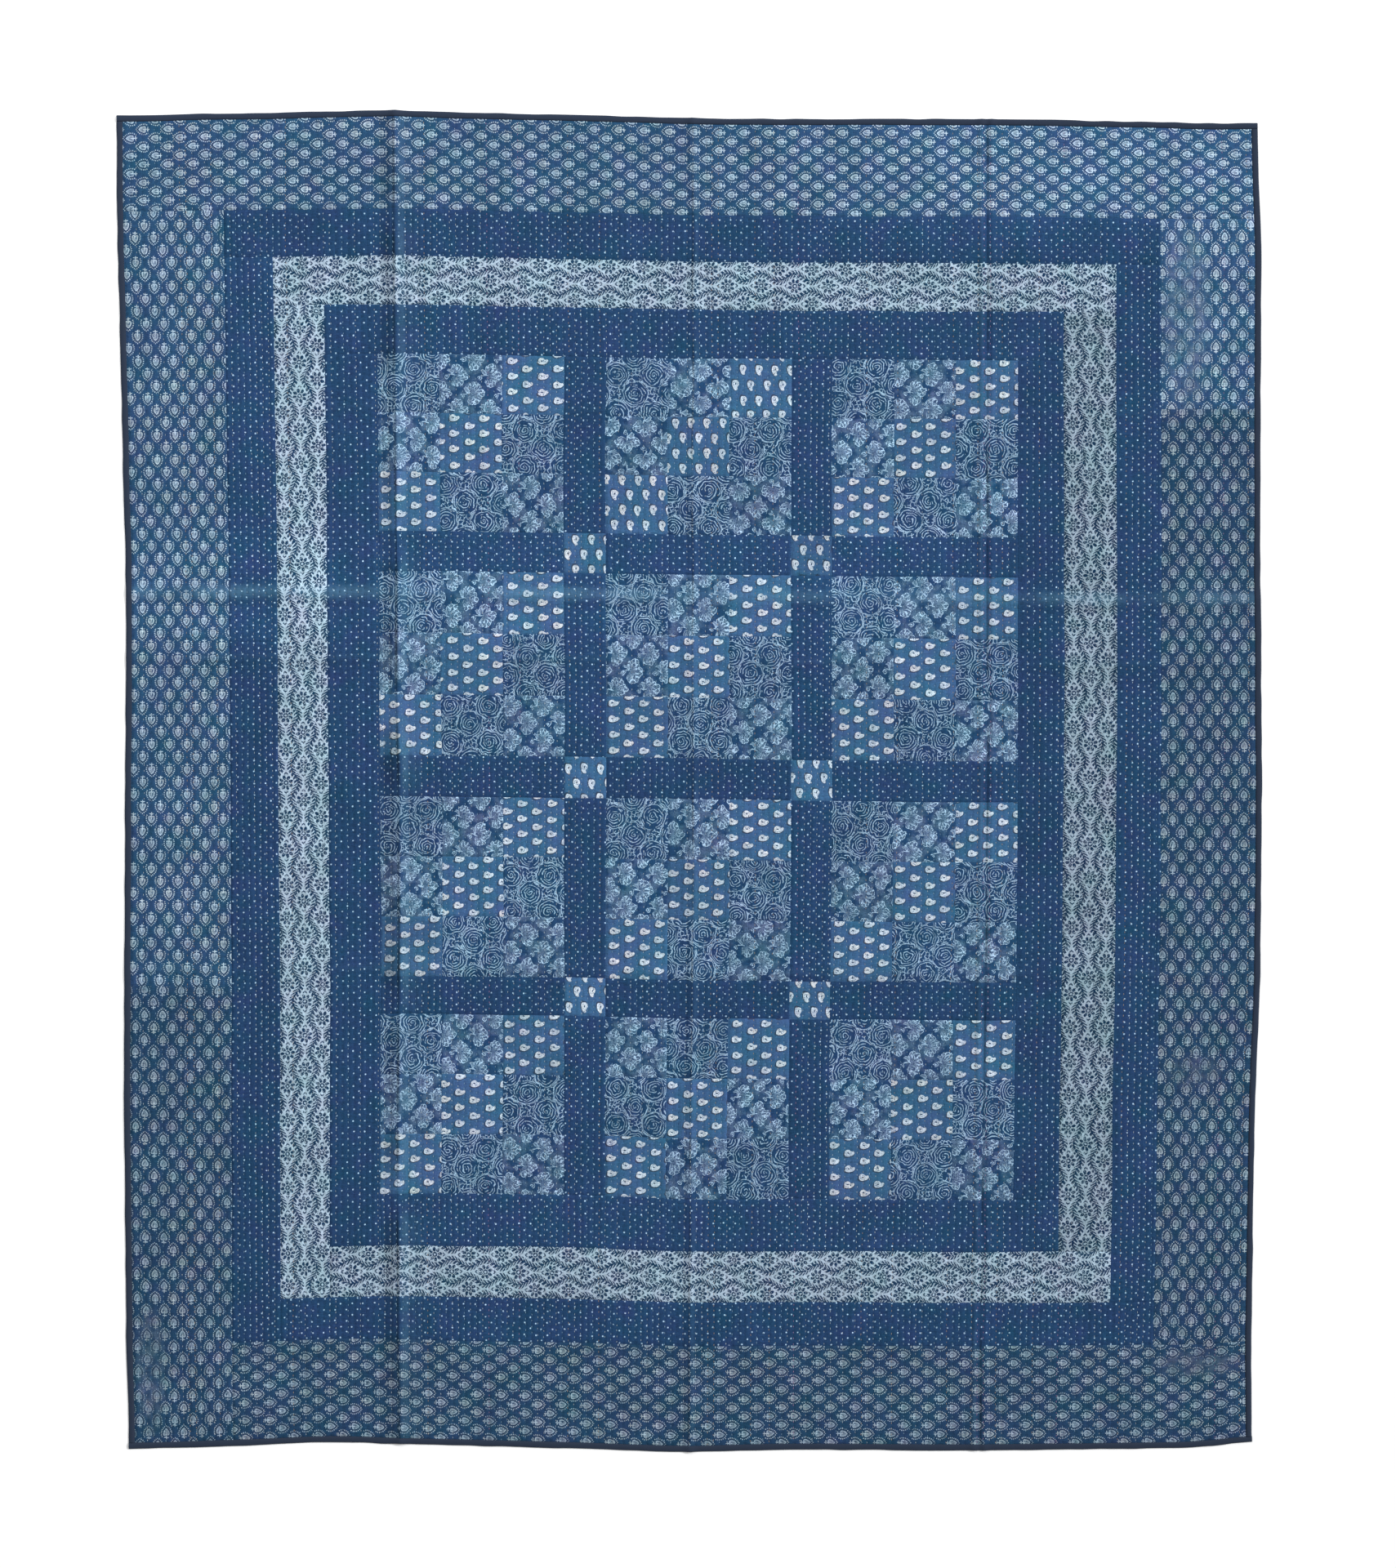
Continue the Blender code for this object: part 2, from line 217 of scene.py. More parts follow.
def box_middle():
    """Middle of the box round the cloth's outline."""
    left, right = ACROSS["left_binding"][0], ACROSS["right_binding"][1]
    foot, head = ALONG["bottom_binding"][0], ALONG["top_binding"][1]
    steps = np.linspace(0.0, 1.0, OUTLINE_STEPS)
    edges = [drifted(left + (right - left) * steps, steps * 0 + y) for y in (foot, head)]
    edges += [drifted(steps * 0 + x, foot + (head - foot) * steps) for x in (left, right)]
    outline = np.concatenate(edges, axis=1)
    return (outline.min(axis=1) + outline.max(axis=1)) / 2


MIDDLE = box_middle()


def laid(across, along):
    """Where places on the cloth lie, with the small wobbles of hand sewing."""
    taps = (-DRIFT_TAP, 0.0, DRIFT_TAP)
    across, along = np.asarray(across, float), np.asarray(along, float)
    places = 0.0
    for right in taps:
        for up in taps:
            places = places + drifted(across + right, along + up)
            places = places - np.array((right, up)).reshape((2,) + (1,) * across.ndim)
    x, y = places / len(taps) ** 2
    x = x + 0.9 * soft_noise(across, along, (30.0, 140.0), seed=11)
    y = y + 1.1 * soft_noise(across, along, (120.0, 60.0), seed=12)
    x = x + 1.2 * soft_noise(across, along, (260.0, 210.0), seed=13)
    return x - MIDDLE[0], y - MIDDLE[1]


def fold_section(shape, reach):
    """Share of a fold's height at a share of its half width from its line."""
    rest = np.clip(1.0 - reach, 0.0, 1.0)
    if shape == "crest":
        return rest**2
    if shape == "swell":
        return eased(rest)
    shoulder = (rest / (1.0 - GROOVE_SHOULDER)) ** 2
    return np.where(reach < GROOVE_SHOULDER, reach / GROOVE_SHOULDER, shoulder)


def lift(across, along):
    """How far the folds and the soft unevenness lift the cloth off the surface."""
    height = np.zeros_like(np.asarray(across, float))
    for fold in FOLDS:
        upright = fold.runs == "along"
        beside, on_line = (across, along) if upright else (along, across)
        reach = HALF_LENGTH if upright else HALF_WIDTH
        full = np.interp(on_line, (-reach, reach), (fold.first, fold.last))
        seed = int(abs(fold.place))
        uneven = 1.0 + FOLD_UNEVENNESS * soft_noise(on_line, beside * 0, 90.0, seed + 3)
        wander = FOLD_WANDER * soft_noise(on_line, beside * 0, 160.0, seed + 9)
        away = np.abs(beside - fold.place - wander) / fold.half_width
        height += full * uneven * fold_section(fold.shape, away)
    edge = np.minimum(HALF_WIDTH - 1.0 - np.abs(across), HALF_LENGTH - 1.0 - np.abs(along))
    soft = 0.5 + 0.5 * soft_noise(across, along, 170.0, seed=21)
    soft = soft + 0.35 * (1.0 + soft_noise(across, along, (46.0, 70.0), seed=22))
    return height + SOFT_HEIGHT * soft * eased(edge / SOFT_EDGE)


def face_height(across, along, seam_distance):
    """Height of the quilted face: full between two rows of stitches and sunk into the seams."""
    turn = np.abs(np.sin(np.pi * across / ROW_SPACING)) ** 0.8
    puff = PUFF_HEIGHT * (0.85 + 0.3 * soft_noise(across, along, 80.0, seed=31))
    pucker = PUCKER_HEIGHT * soft_noise(across, along, (9.0, 10.5), seed=32)
    height = CLOTH_THICKNESS + turn * (puff + pucker)
    sunk = 1.0 - eased(seam_distance / SEAM_HALF_WIDTH)
    return lift(across, along) + height - SEAM_SINK * sunk


def steps_between(low, high, step, marks):
    """Places from a low to a high seam: edges, steps close to them, even steps and marks."""
    even = np.arange(math.ceil(low / step), math.floor(high / step) + 1) * step
    fixed = [low, high] + [low + e for e in SEAM_STEPS] + [high - e for e in SEAM_STEPS]
    fixed += [mark for mark in marks if low + MARK_MARGIN < mark < high - MARK_MARGIN]
    fixed = np.array(sorted(fixed))
    least_gap = CLEARANCE * min(step, MARK_MARGIN)
    clear = [place for place in even if np.abs(fixed - place).min() > least_gap]
    inner = [place for place in clear if low < place < high]
    return np.array(sorted(list(fixed) + inner))


FOLDS_ALONG = [fold.place for fold in FOLDS if fold.runs == "along"]
FOLDS_ACROSS = [fold.place for fold in FOLDS if fold.runs == "across"]


def thinned(places, every, marks):
    """Some of the places: both ends, every so many, and those at the marks."""
    kept = {0, len(places) - 1} | set(range(every, len(places) - every, every))
    kept |= {i for i, place in enumerate(places) if np.min(np.abs(marks - place)) < 0.01}
    return np.array(sorted(kept))


def zipped(first, first_places, second, second_places, turned):
    """Triangles between two rows of vertices that may have unlike numbers of points."""
    i = j = 0
    found = []
    while i < len(first) - 1 or j < len(second) - 1:
        more_first = first_places[i + 1] if i < len(first) - 1 else math.inf
        more_second = second_places[j + 1] if j < len(second) - 1 else math.inf
        if more_second <= more_first:
            found.append((first[i], second[j], second[j + 1]))
            j += 1
        else:
            found.append((first[i], second[j], first[i + 1]))
            i += 1
    found = np.array(found)
    return found[:, ::-1] if turned else found


def grid_faces(numbers):
    """Quads between the rows of a grid of vertex numbers, facing up."""
    return np.stack(
        (numbers[:-1, :-1], numbers[:-1, 1:], numbers[1:, 1:], numbers[1:, :-1]), axis=-1
    ).reshape(-1, 4)


def new_piece(name, points, quads, triangles, maps, dye, material, sharp_angle=55.0):
    """A mesh object from arrays, with its UV maps and the colour that tells how it was dyed."""
    mesh = bpy.data.meshes.new(name)
    mesh.vertices.add(len(points))
    mesh.vertices.foreach_set("co", (points * MM).astype(np.float32).ravel())
    corners = np.concatenate((quads.ravel(), triangles.ravel())).astype(np.int32)
    mesh.loops.add(len(corners))
    mesh.loops.foreach_set("vertex_index", corners)
    starts = np.concatenate(
        (np.arange(len(quads)) * 4, len(quads) * 4 + np.arange(len(triangles)) * 3)
    )
    mesh.polygons.add(len(starts))
    mesh.polygons.foreach_set("loop_start", starts.astype(np.int32))
    mesh.update(calc_edges=True)
    mesh.validate()
    for map_name, places in maps.items():
        layer = mesh.uv_layers.new(name=map_name)
        layer.uv.foreach_set("vector", (places[corners] * MM).astype(np.float32).ravel())
    if dye is not None:
        attribute = mesh.attributes.new("dye", "FLOAT_COLOR", "POINT")
        attribute.data.foreach_set("color", dye.astype(np.float32).ravel())
    mesh.materials.append(material)
    mesh.shade_smooth()
    mesh.set_sharp_from_angle(angle=math.radians(sharp_angle))
    piece = bpy.data.objects.new(name, mesh)
    bpy.context.scene.collection.objects.link(piece)
    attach(piece, BODY)
    return piece


# Places where the resist bled before the dye took: middle across and along, then half sizes
Bleed = namedtuple("Bleed", "across along half_width half_length")
BLEEDS = (
    Bleed(across=998.0, along=955.0, half_width=52.0, half_length=200.0),
    Bleed(across=-1102.0, along=-1190.0, half_width=34.0, half_length=140.0),
    Bleed(across=1040.0, along=-1178.0, half_width=95.0, half_length=32.0),
    Bleed(across=1020.0, along=-578.0, half_width=62.0, half_length=36.0),
)


def bleeding(across, along):
    """How badly the resist bled, from 0 to 1."""
    worst = np.zeros_like(across)
    for bleed in BLEEDS:
        sideways = (across - bleed.across) / bleed.half_width
        lengthways = (along - bleed.along) / bleed.half_length
        reach = np.hypot(sideways, lengthways)
        worst = np.maximum(worst, 1.0 - eased((reach - 0.55) / 0.6))
    return worst * (0.75 + 0.25 * soft_noise(across, along, 24.0, seed=41))


Print = namedtuple("Print", "up shift shade")


def print_places(across, along, middle, cloth_print):
    """Places on the bolt that a piece was cut from. up is the way that the print's top faces."""
    up, shift = cloth_print.up, cloth_print.shift
    right = (up[1], -up[0])
    x, y = across - middle[0], along - middle[1]
    return np.stack((x * right[0] + y * right[1] + shift[0], x * up[0] + y * up[1] + shift[1]), -1)


CLOTH_PLACES = []  # left, right, foot and head of every quilted piece, for its stitches


def add_cloth(name, node, across, along, cloth, slot, cloth_print):
    """One quilted piece of cloth between two seams each way, closed, with its own underside."""
    left, right = across[0] + PIECE_GAP / 2, across[1] - PIECE_GAP / 2
    foot, head = along[0] + PIECE_GAP / 2, along[1] - PIECE_GAP / 2
    xs = steps_between(left, right, COLUMN_STEP, FOLDS_ALONG)
    ys = steps_between(foot, head, ROW_STEP, FOLDS_ACROSS)
    grid_x, grid_y = np.meshgrid(xs, ys)
    seam = np.minimum(
        np.minimum(grid_x - left, right - grid_x), np.minimum(grid_y - foot, head - grid_y)
    )
    some_x = thinned(xs, UNDERSIDE_COLUMNS, np.array(FOLDS_ALONG))
    some_y = thinned(ys, UNDERSIDE_ROWS, np.array(FOLDS_ACROSS))
    under_x, under_y = np.meshgrid(xs[some_x], ys[some_y])
    flat_x = np.concatenate((grid_x.ravel(), under_x.ravel()))
    flat_y = np.concatenate((grid_y.ravel(), under_y.ravel()))
    face_z, under_z = face_height(grid_x, grid_y, seam), lift(under_x, under_y)
    z = np.concatenate((face_z.ravel(), under_z.ravel()))
    points = np.stack((*laid(flat_x, flat_y), z), axis=-1)
    flat = np.stack((flat_x, flat_y), axis=-1)
    top = np.arange(grid_x.size).reshape(grid_x.shape)
    under = grid_x.size + np.arange(under_x.size).reshape(under_x.shape)
    quads = np.concatenate((grid_faces(top), grid_faces(under)[:, ::-1]))
    triangles = np.concatenate(
        (
            zipped(top[0], xs, under[0], xs[some_x], False),
            zipped(top[-1], xs, under[-1], xs[some_x], True),
            zipped(top[:, 0], ys, under[:, 0], ys[some_y], True),
            zipped(top[:, -1], ys, under[:, -1], ys[some_y], False),
        )
    )
    middle = ((across[0] + across[1]) / 2, (along[0] + along[1]) / 2)
    maps = {"print": print_places(flat_x, flat_y, middle, cloth_print), "cloth": flat}
    dye = np.ones((len(flat), 4))
    dye[:, 0] = cloth_print.shade
    dye[:, 1] = bleeding(flat_x, flat_y) if slot == "sprig_print" else 0.0
    material = bpy.data.materials[cloth + "_cloth"]
    piece = new_piece(name, points, quads, triangles, maps, dye, material)
    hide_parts(node)
    width, length = (across[1] - across[0]) * MM, (along[1] - along[0]) * MM
    CLOTH_PLACES.append((left, right, foot, head))


class Term:
    """One value in a shader tree, so that patterns can be written as ordinary arithmetic."""

    def __init__(self, tree, socket):
        self.tree = tree
        self.socket = socket

    def __add__(self, other):
        return calculate(self.tree, "ADD", self, other)

    def __sub__(self, other):
        return calculate(self.tree, "SUBTRACT", self, other)

    def __rsub__(self, other):
        return calculate(self.tree, "SUBTRACT", other, self)

    def __mul__(self, other):
        return calculate(self.tree, "MULTIPLY", self, other)

    def __truediv__(self, other):
        return calculate(self.tree, "DIVIDE", self, other)

    def __abs__(self):
        return calculate(self.tree, "ABSOLUTE", self)

    __radd__ = __add__
    __rmul__ = __mul__


def feed(tree, socket, value):
    """Gives an input a term, another socket or a plain value."""
    if isinstance(value, Term):
        tree.links.new(value.socket, socket)
    elif isinstance(value, bpy.types.NodeSocket):
        tree.links.new(value, socket)
    else:
        socket.default_value = value


def calculate(tree, operation, *values):
    node = tree.nodes.new("ShaderNodeMath")
    node.operation = operation
    for socket, value in zip(node.inputs, values):
        feed(tree, socket, value)
    return Term(tree, node.outputs[0])


def function(operation):
    def run(first, *others):
        terms = [value for value in (first, *others) if isinstance(value, Term)]
        return calculate(terms[0].tree, operation, first, *others)

    return run


round_off = function("ROUND")
floor_of = function("FLOOR")
fraction = function("FRACT")
root = function("SQRT")
cosine = function("COSINE")
sine = function("SINE")
angle_of = function("ARCTAN2")
least = function("MINIMUM")
most = function("MAXIMUM")
greater = function("GREATER_THAN")


def length_of(x, y):
    return root(x * x + y * y)


def ramp(value, zero_at, one_at):
    """0 to 1 as a value goes softly from one place to another."""
    tree = value.tree
    node = tree.nodes.new("ShaderNodeMapRange")
    node.interpolation_type = "SMOOTHSTEP"
    feed(tree, node.inputs["Value"], value)
    feed(tree, node.inputs["From Min"], zero_at)
    feed(tree, node.inputs["From Max"], one_at)
    return Term(tree, node.outputs["Result"])


def blend(share, first, second):
    return first + (second - first) * share


def joined(tree, x, y, z=0.0):
    node = tree.nodes.new("ShaderNodeCombineXYZ")
    for socket, value in zip(node.inputs, (x, y, z)):
        feed(tree, socket, value)
    return node.outputs[0]


def noise_at(x, y, scale, detail=0.0, z=0.0, stretch=(1.0, 1.0), roughness=0.5):
    """Noise about 0.5, with hills 1 / scale apart."""
    tree = x.tree
    node = tree.nodes.new("ShaderNodeTexNoise")
    node.inputs["Scale"].default_value = scale
    node.inputs["Detail"].default_value = detail
    node.inputs["Roughness"].default_value = roughness
    tree.links.new(joined(tree, x * stretch[0], y * stretch[1], z), node.inputs["Vector"])
    return Term(tree, node.outputs["Fac"])


def chance_at(x, y, z=0.0):
    """Three even chances for each whole number of x and y."""
    tree = x.tree
    node = tree.nodes.new("ShaderNodeTexWhiteNoise")
    tree.links.new(joined(tree, x, y, z), node.inputs["Vector"])
    parts = tree.nodes.new("ShaderNodeSeparateColor")
    tree.links.new(node.outputs["Color"], parts.inputs[0])
    return [Term(tree, socket) for socket in parts.outputs]


def cell_edges(x, y, scale):
    """Distance to the nearest wall of a net of irregular cells."""
    tree = x.tree
    node = tree.nodes.new("ShaderNodeTexVoronoi")
    node.voronoi_dimensions = "2D"
    node.feature = "DISTANCE_TO_EDGE"
    node.inputs["Scale"].default_value = 1.0
    tree.links.new(joined(tree, x / scale, y / scale), node.inputs["Vector"])
    return Term(tree, node.outputs["Distance"]) * scale


def new_group(name, results, extra=()):
    """An empty node group that takes a place and extra inputs, and its inputs as terms."""
    group = bpy.data.node_groups.new(name, "ShaderNodeTree")
    inputs = ("Across", "Along", *extra)
    for labels, way in ((inputs, "INPUT"), (results, "OUTPUT")):
        for label in labels:
            kind = "NodeSocketColor" if label == "Colour" else "NodeSocketFloat"
            group.interface.new_socket(name=label, in_out=way, socket_type=kind)
    entry = group.nodes.new("NodeGroupInput")
    return group, {label: Term(group, entry.outputs[label]) for label in inputs}


def give(group, **values):
    """Links a group's results. Keyword names are the output names in small letters."""
    leave = group.nodes.new("NodeGroupOutput")
    for socket in leave.inputs:
        key = socket.name.lower().replace(" ", "_")
        if key in values:
            feed(group, socket, values[key])


def place_group(tree, name, across, along, **values):
    """Puts a node group in a tree and returns its outputs as terms, by name."""
    node = tree.nodes.new("ShaderNodeGroup")
    node.node_tree = bpy.data.node_groups[name]
    for label, value in dict(values, Across=across, Along=along).items():
        feed(tree, node.inputs[label.replace("_", " ")], value)
    return {socket.name: Term(tree, socket) for socket in node.outputs}


def make_lattice_group():
    """Place within the nearest cell of a half drop repeat, with chances that differ by cell."""
    results = ("U", "V", "Chance 1", "Chance 2", "Chance 3")
    group, given = new_group("Half drop repeat", results, ("Pitch across", "Pitch along"))
    x = given["Across"] / given["Pitch across"]
    y = given["Along"] / given["Pitch along"]
    even_x, even_y = round_off(x), round_off(y)
    odd_x, odd_y = floor_of(x) + 0.5, floor_of(y) + 0.5
    odd = greater(abs(x - even_x) + abs(y - even_y), 0.5)
    cell_x, cell_y = blend(odd, even_x, odd_x), blend(odd, even_y, odd_y)
    chances = chance_at(round_off(cell_x * 2.0), round_off(cell_y * 2.0))
    give(
        group,
        u=(x - cell_x) * given["Pitch across"],
        v=(y - cell_y) * given["Pitch along"],
        chance_1=chances[0],
        chance_2=chances[1],
        chance_3=chances[2],
    )


def repeat(given, pitch):
    """Places and chances within a half drop repeat of a pitch across and along."""
    across, along = given["Across"], given["Along"]
    found = place_group(
        across.tree, "Half drop repeat", across, along, Pitch_across=pitch[0], Pitch_along=pitch[1]
    )
    return found["U"], found["V"], [found[f"Chance {i}"] for i in (1, 2, 3)]


# How far apart the motifs of each print are, across and along, in millimetres
DOT_PITCH = (22.8, 23.6)
SPRIG_PITCH = (36.2, 50.0)
VINE_PITCH = (70.0, 68.0)
ROSE_PITCH = (77.0, 74.0)
CLUSTER_PITCH = (66.0, 71.0)
PAISLEY_PITCH = (60.4, 31.8)


def make_dot_group():
    """Small dots, stamped a little out of line."""
    group, given = new_group("Dot print", ("Mark",))
    u, v, chances = repeat(given, DOT_PITCH)
    u = u + (chances[0] - 0.5) * 2.8
    v = v + (chances[1] - 0.5) * 2.8
    give(group, mark=ramp(length_of(u, v), 2.1, 1.1) * (0.8 + chances[2] * 0.2))


def make_sprig_group():
    """A heart on a stem with a cross bar, in a dark ring and a ring of small dots."""
    group, given = new_group("Sprig print", ("Mark", "Line"))
    u, v, chances = repeat(given, SPRIG_PITCH)
    dot_step = 3.7
    side = abs(u)
    pointed = greater(v, -2.0) * 7.0
    rounded = length_of(side + pointed, v + 2.0) - (pointed + 6.4)
    lobes = length_of(side - 2.9, v + 2.4) - 3.5
    heart = blend(greater(v, -2.2), lobes, rounded)
    rim = ramp(heart, -2.3, -1.0)
    fill = ramp(heart, 0.4, -0.5) * (0.46 + rim * 0.44)
    core = ramp(length_of(u + 2.1, (v - 0.2) * 0.42), 1.7, 0.7) * (0.25 + chances[1] * 0.7)
    fill = fill * (1.0 - core)
    stem = ramp(side, 1.2, 0.5) * ramp(v, -13.4, -12.4) * ramp(v, 1.5, 0.0)
    bar = ramp(abs(v + 9.4 + side * 0.12), 1.3, 0.5) * ramp(side, 4.9, 4.1)
    turn = angle_of(v + 2.0, side + pointed) * (pointed + 10.4) / dot_step
    beside = (fraction(turn) - 0.5) * dot_step
    dot = ramp(length_of(beside, (rounded - 4.1) * 0.72), 1.3, 0.55) * ramp(v, -9.4, -8.4)
    mark = most(most(fill, dot), most(bar, stem)) * (0.85 + chances[0] * 0.15)
    line = ramp(abs(heart - 1.9), 1.5, 0.7) * ramp(v, -8.0, -6.0) * 0.5
    give(group, mark=mark, line=line * (1.0 - least(mark * 1.3, 1.0)))


def make_vine_group():
    """Leafy stems that wind round upright chains of eight-petalled rosettes."""
    group, given = new_group("Vine print", ("Mark",))
    u, v, chances = repeat(given, VINE_PITCH)
    petal_width, leaf_step = 0.785, 6.8
    radius = length_of(u, v)
    ring = ramp(abs(radius - 3.6), 1.9, 1.1)
    petal_share = fraction(angle_of(v, u) * (8.0 / math.tau) + chances[0] * 0.4)
    petal_turn = (petal_share - 0.5) * petal_width
    petal = length_of((radius - 10.6) / 4.8, petal_turn * radius / 3.3)
    petals = ramp(petal, 1.1, 0.85)
    tick = ramp(abs(abs(v) + abs(u) * 0.85 - 20.5), 2.2, 1.1) * ramp(abs(u), 4.3, 3.4)
    x = given["Across"] / VINE_PITCH[0]
    fold_x = abs(x - round_off(x)) * VINE_PITCH[0]
    turn = given["Along"] * (math.tau / VINE_PITCH[1])
    away = fold_x - VINE_PITCH[0] / 4 - cosine(turn) * 7.5
    stem = ramp(abs(away), 2.2, 1.3)
    off = abs(away)
    other_side = greater(away, 0.0) * 0.5
    leaf_turn = fraction((given["Along"] + off * 0.75) / leaf_step + other_side)
    leaf = abs(leaf_turn - 0.5) * leaf_step + off * 0.08
    leaflets = ramp(leaf, 3.0, 2.35) * ramp(off, 9.0, 8.2)
    mark = most(most(most(ring, petals), tick), most(stem, leaflets))
    give(group, mark=mark)


def make_rose_group():
    """Spiral roses of broken lines, with a net of short lines where they meet."""
    group, given = new_group("Rose print", ("Mark",))
    across, along = given["Across"], given["Along"]
    bend_x = (noise_at(across, along, 0.09) - 0.5) * 7.0
    bend_y = (noise_at(across, along, 0.09, z=3.7) - 0.5) * 7.0
    bent = {"Across": across + bend_x, "Along": along + bend_y}
    u, v, chances = repeat(bent, ROSE_PITCH)
    radius = length_of(u, v)
    rose_radius, turn_width = 25.5, 5.2
    turn = angle_of(v, u) / math.tau
    spiral = radius / turn_width + turn + chances[0] * 4.0
    ring = floor_of(spiral)
    line = ramp(abs(fraction(spiral) - 0.5) * turn_width, 1.0, 0.4)
    breaks = noise_at(turn * 6.0 + chances[1] * 9.0, ring * 1.7, 1.0)
    line = line * ramp(breaks, 0.36, 0.42) * ramp(radius, rose_radius, 24.0)
    net = ramp(cell_edges(bent["Across"], bent["Along"], 7.0), 0.95, 0.35)
    net = net * ramp(noise_at(across, along, 0.16, z=8.0), 0.38, 0.46) * ramp(radius, 24.5, 26.0)
    rim_breaks = ramp(noise_at(turn * 7.0, radius * 0.0, 1.0), 0.4, 0.5)
    rim = ramp(abs(radius - rose_radius), 1.2, 0.4) * rim_breaks
    give(group, mark=most(most(line, net), rim) * (0.8 + chances[2] * 0.2))


def make_cluster_group():
    """Heart-shaped fans of looped petals, each with a curl, a stem and a leaf at its cleft."""
    group, given = new_group("Cluster print", ("Mark",))
    across, along = given["Across"], given["Along"]
    u, v, chances = repeat(given, CLUSTER_PITCH)
    u = u + (noise_at(across, along, 0.07, z=2.0) - 0.5) * 9.0
    v = v + (noise_at(across, along, 0.07, z=5.0) - 0.5) * 9.0
    side = abs(v)
    lobe = length_of(u + 3.0, side - 12.0) - 10.8
    tip = length_of(u - 5.6, side * 1.15) - 11.8
    inside = 0.0 - least(lobe, tip)
    fan_radius, fan_angle = length_of(u + 9.0, v), angle_of(v, u + 9.0)
    outer_petals, inner_petals = 2.7, 1.9
    bend = (noise_at(across, along, 0.25, z=9.0) - 0.5) * 0.7 + chances[0]
    outer_turn = fraction(fan_angle * outer_petals + bend) - 0.5
    outer = abs(length_of((inside - 3.4) / 4.6, outer_turn * 2.3) - 1.0) * 2.6
    vein = ramp(abs(outer_turn) * fan_radius / outer_petals, 0.6, 0.2)
    vein = vein * ramp(abs(inside - 4.0), 3.0, 2.2)
    inner_turn = fraction(fan_angle * inner_petals + 0.5 + bend) - 0.5
    inner = abs(length_of((inside - 8.6) / 3.8, inner_turn * 2.2) - 1.0) * 2.6
    inner = ramp(inner, 0.75, 0.3) * greater(inside, 6.0)
    petals = most(ramp(outer, 0.75, 0.3), most(inner * 0.8, vein * 0.6))
    petals = petals * ramp(inside, -1.6, -0.8) * ramp(noise_at(across, along, 0.3), 0.26, 0.4)
    petals = petals * (ramp(fan_radius, 5.0, 17.0) * 0.65 + 0.35)
    haze = ramp(inside, -0.5, 2.5) * ramp(fan_radius, 9.0, 16.0) * 0.12
    haze = most(haze, ramp(noise_at(across, along, 0.05, detail=1.0, z=12.0), 0.4, 0.65) * 0.12)
    curl_u, curl_v = u + 25.5, v + 4.0
    curl_radius = length_of(curl_u, curl_v)
    curl_turn = angle_of(curl_v, curl_u) / math.tau
    curl = ramp(abs(fraction(curl_radius / 3.4 - curl_turn) - 0.5) * 3.4, 1.2, 0.5)
    curl = curl * ramp(curl_radius, 5.6, 5.0)
    stem = ramp(abs(v + 0.6 + (u + 9.0) * 0.12), 1.2, 0.5) * ramp(abs(u + 15.0), 7.0, 6.0)
    leaf_long = (v - 9.5 - (u + 17.0)) * 0.707
    leaf_wide = (v - 9.5 + (u + 17.0)) * 0.707 + leaf_long * leaf_long * 0.05
    leaf = length_of(leaf_long / 8.0, leaf_wide / 2.6)
    leaf = most(ramp(abs(leaf - 1.0) * 2.6, 1.0, 0.4) * 0.7, ramp(leaf, 1.0, 0.8) * 0.3)
    mark = most(most(petals, haze), most(most(curl, stem) * 0.85, leaf))
    give(group, mark=mark * (0.85 + chances[2] * 0.15))


def make_paisley_group():
    """Cream beans with a curled tip, a dark line round them and a speck in the middle."""
    group, given = new_group("Paisley print", ("Mark", "Line"))
    u, v, chances = repeat(given, PAISLEY_PITCH)
    u = u + (chances[0] - 0.5) * 2.4
    v = v + (chances[1] - 0.5) * 2.4

    def bean(u, v):
        body = length_of(u + 3.3, v - 0.3) - 6.7
        long_way = (u * 0.970 + (v + 0.7) * 0.242) / 10.3
        short_way = ((v + 0.7) * 0.970 - u * 0.242) / 5.5
        tail = (length_of(long_way, short_way) - 1.0) * 5.5
        return most(least(body, tail), 4.9 - length_of(u - 5.0, v - 8.3))

    shape = bean(u, v)
    shadow = bean(u + 1.0, v + 1.1)
    mark = ramp(shape, 0.5, -0.5)
    speck = ramp(length_of((u + 2.6) * 0.52, v - 0.2 + u * 0.15), 1.65, 0.85)
    curve = ramp(abs(length_of((u + 2.4) * 0.8, v + 0.2) - 3.9), 0.9, 0.3) * 0.22
    mark = mark * (1.0 - speck) * (1.0 - curve)
    line = most(ramp(shadow, 1.7, 0.6) * (1.0 - ramp(shape, 0.6, -0.2)), speck * 0.85)
    give(group, mark=mark * (0.9 + chances[2] * 0.1), line=line)


def make_weave_group():
    """Plain weave of hand spun cotton, and how light each thread is, with the high threads painted
    lighter as painted highlight.
    """
    group, given = new_group("Cotton weave", ("Height", "Shade"), ("Thread",))
    across, along = given["Across"], given["Along"]
    turn_x = across / given["Thread"] * math.pi
    turn_y = along / given["Thread"] * math.pi
    weave = sine(turn_x) * sine(turn_y)
    slub_x = noise_at(across, along, 1.1, stretch=(1.0, 0.06))
    slub_y = noise_at(across, along, 1.1, stretch=(0.06, 1.0), z=4.0)
    # slubs vary the tone; the weave term paints the high threads lighter, a painted highlight
    shade = 1.0 + (slub_x + slub_y - 1.0) * 0.5 + weave * 0.05
    give(group, height=weave, shade=shade)


def make_quilting_group():
    """Dimples where each stitch pulls the cloth down, on rows that start at other places."""
    group, given = new_group("Quilting dimples", ("Height",))
    row = given["Across"] / ROW_SPACING
    nearest = round_off(row)
    beside = (row - nearest) * ROW_SPACING
    phase = given["Along"] / STITCH_PERIOD - fraction(nearest * PHASE_STEP)
    on_row = (phase - round_off(phase)) * STITCH_PERIOD
    dimple = ramp(length_of(beside * 0.8, on_row * 0.62), 4.2, 0.8)
    give(group, height=0.0 - dimple)


